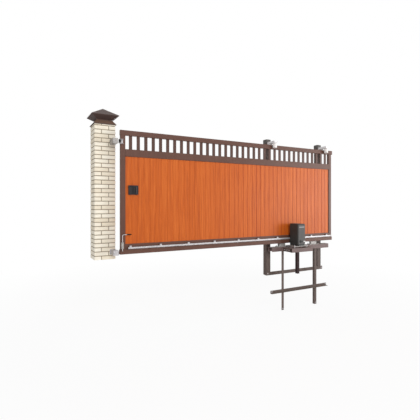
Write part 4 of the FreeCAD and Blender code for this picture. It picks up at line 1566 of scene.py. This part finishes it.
@dataclass
class Studio:
    """The pale floor, the soft lights and the camera."""

    white: tuple[float, ...] = (1.0, 1.0, 1.0, 1.0)
    floor_size: float = 120.0
    floor_gap: float = 0.002
    floor_colour: Colour = (0.92, 0.92, 0.92)
    floor_middle: Point = (2.7, -0.3, 0.0)
    floor_glow: float = 0.9
    glow_start: float = 4.0
    glow_end: float = 9.0
    ambient: float = 0.56
    aim: Point = (2.7, -0.3, 1.0)
    key: Softbox = Softbox("soft_key", (0.81, -0.59, 0.03), 17.0, 7.0, 5.6, 1080.0)
    fill: Softbox = Softbox("soft_front", (-0.1, -0.9, 0.42), 20.0, 9.0, 6.0, 1120.0)
    rear: Softbox = Softbox("soft_rear", (0.06, 0.98, 0.12), 20.0, 9.0, 6.0, 900.0)
    camera_place: Point = (-1.4628, -6.7786, 1.0311)
    camera_tilt: float = 90.0
    camera_turn: float = -29.0249
    sensor: float = 36.0
    lens: float = 30.3332
    shift: float = -0.01586

    @staticmethod
    def seen(graph: Graph) -> Value:
        """Return 1 for rays that show the background itself, else 0."""
        path = [
            graph.node("ShaderNodeLightPath", {}, {}, name)
            for name in ("Is Camera Ray", "Is Glossy Ray", "Is Transmission Ray")
        ]
        return (path[0] + path[1] + path[2]).clamped()

    def light_world(self) -> None:
        """Make the world white to look at and softer as a light."""
        world = bpy.data.worlds.new("studio_white")
        world.use_nodes = True
        bpy.context.scene.world = world
        graph = Graph(world.node_tree)
        strength = self.ambient + self.seen(graph) * (1.0 - self.ambient)
        back = graph.node("ShaderNodeBackground", {}, {"Color": self.white, "Strength": strength})
        graph.node("ShaderNodeOutputWorld", {}, {"Surface": back})

    def floor_material(self) -> bpy.types.Material:
        """Return a pale matte floor that turns to plain white away from the gate."""
        material = bpy.data.materials.new("studio_floor_white")
        material.use_nodes = True
        graph = Graph(material.node_tree)
        matte = graph.node("ShaderNodeBsdfDiffuse", {}, {"Color": (*self.floor_colour, 1.0)})
        glow = graph.node("ShaderNodeEmission", {}, {"Color": self.white, "Strength": 1.0})
        flat = graph.stretched(graph.place(), (1.0, 1.0, 0.0))
        ends = {0: flat, 1: self.floor_middle}
        away = graph.node("ShaderNodeVectorMath", {"operation": "DISTANCE"}, ends, "Value")
        far = graph.above(away, self.glow_start, 1.0 / (self.glow_end - self.glow_start))
        share = self.seen(graph) * (self.floor_glow + far * (1.0 - self.floor_glow))
        both = graph.node("ShaderNodeMixShader", {}, {0: share, 1: matte, 2: glow})
        graph.node("ShaderNodeOutputMaterial", {}, {"Surface": both})
        return material

    def lay_floor(self, height: float) -> None:
        """Lay the floor.

        Args:
            height: Height of its surface.
        """
        half = self.floor_size / 2.0
        draft = bmesh.new()
        for x, y in ((-half, -half), (half, -half), (half, half), (-half, half)):
            draft.verts.new((x, y, height))
        draft.faces.new(draft.verts)
        data = bpy.data.meshes.new("studio_floor")
        draft.to_mesh(data)
        draft.free()
        data.materials.append(self.floor_material())
        floor = bpy.data.objects.new("studio_floor", data)
        bpy.context.scene.collection.objects.link(floor)
        floor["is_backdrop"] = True

    def stand_camera(self) -> None:
        """Stand the camera where the photograph was taken from."""
        data = bpy.data.cameras.new("photo_camera")
        data.sensor_width = self.sensor
        data.lens = self.lens
        data.shift_y = self.shift
        camera = bpy.data.objects.new("photo_camera", data)
        camera.location = self.camera_place
        camera.rotation_euler = (math.radians(self.camera_tilt), 0.0, math.radians(self.camera_turn))
        bpy.context.scene.collection.objects.link(camera)
        bpy.context.scene.camera = camera

    def build(self, ground: float) -> None:
        """Set the whole studio up.

        Args:
            ground: Height of the lowest point that stands on the floor.
        """
        self.light_world()
        self.lay_floor(ground - self.floor_gap)
        for lamp in (self.key, self.fill, self.rear):
            lamp.hang(self.aim)
        self.stand_camera()
        bpy.context.scene.view_settings.view_transform = "Standard"


def main() -> None:
    """Build the gate's looks and its studio, with the floor under the gate's lowest point."""
    logging.basicConfig(level=logging.INFO, format="%(message)s")
    cad_box = [list(corner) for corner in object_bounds()]
    parts: tuple[Assembly, ...] = (
        BrickPillar(),
        LeafFrame(),
        BoardPanel(),
        RackDrive(),
        GuidePosts(),
        Foundation(),
        Carriages(),
        MotorUnit(),
        LockSet(),
        DropBolt(),
        EndCatchers(),
    )
    for part in parts:
        LOG.info("%s", type(part).__name__)
        part.build()
    Studio().build(cad_box[0][2])


if __name__ == "__main__":
    main()
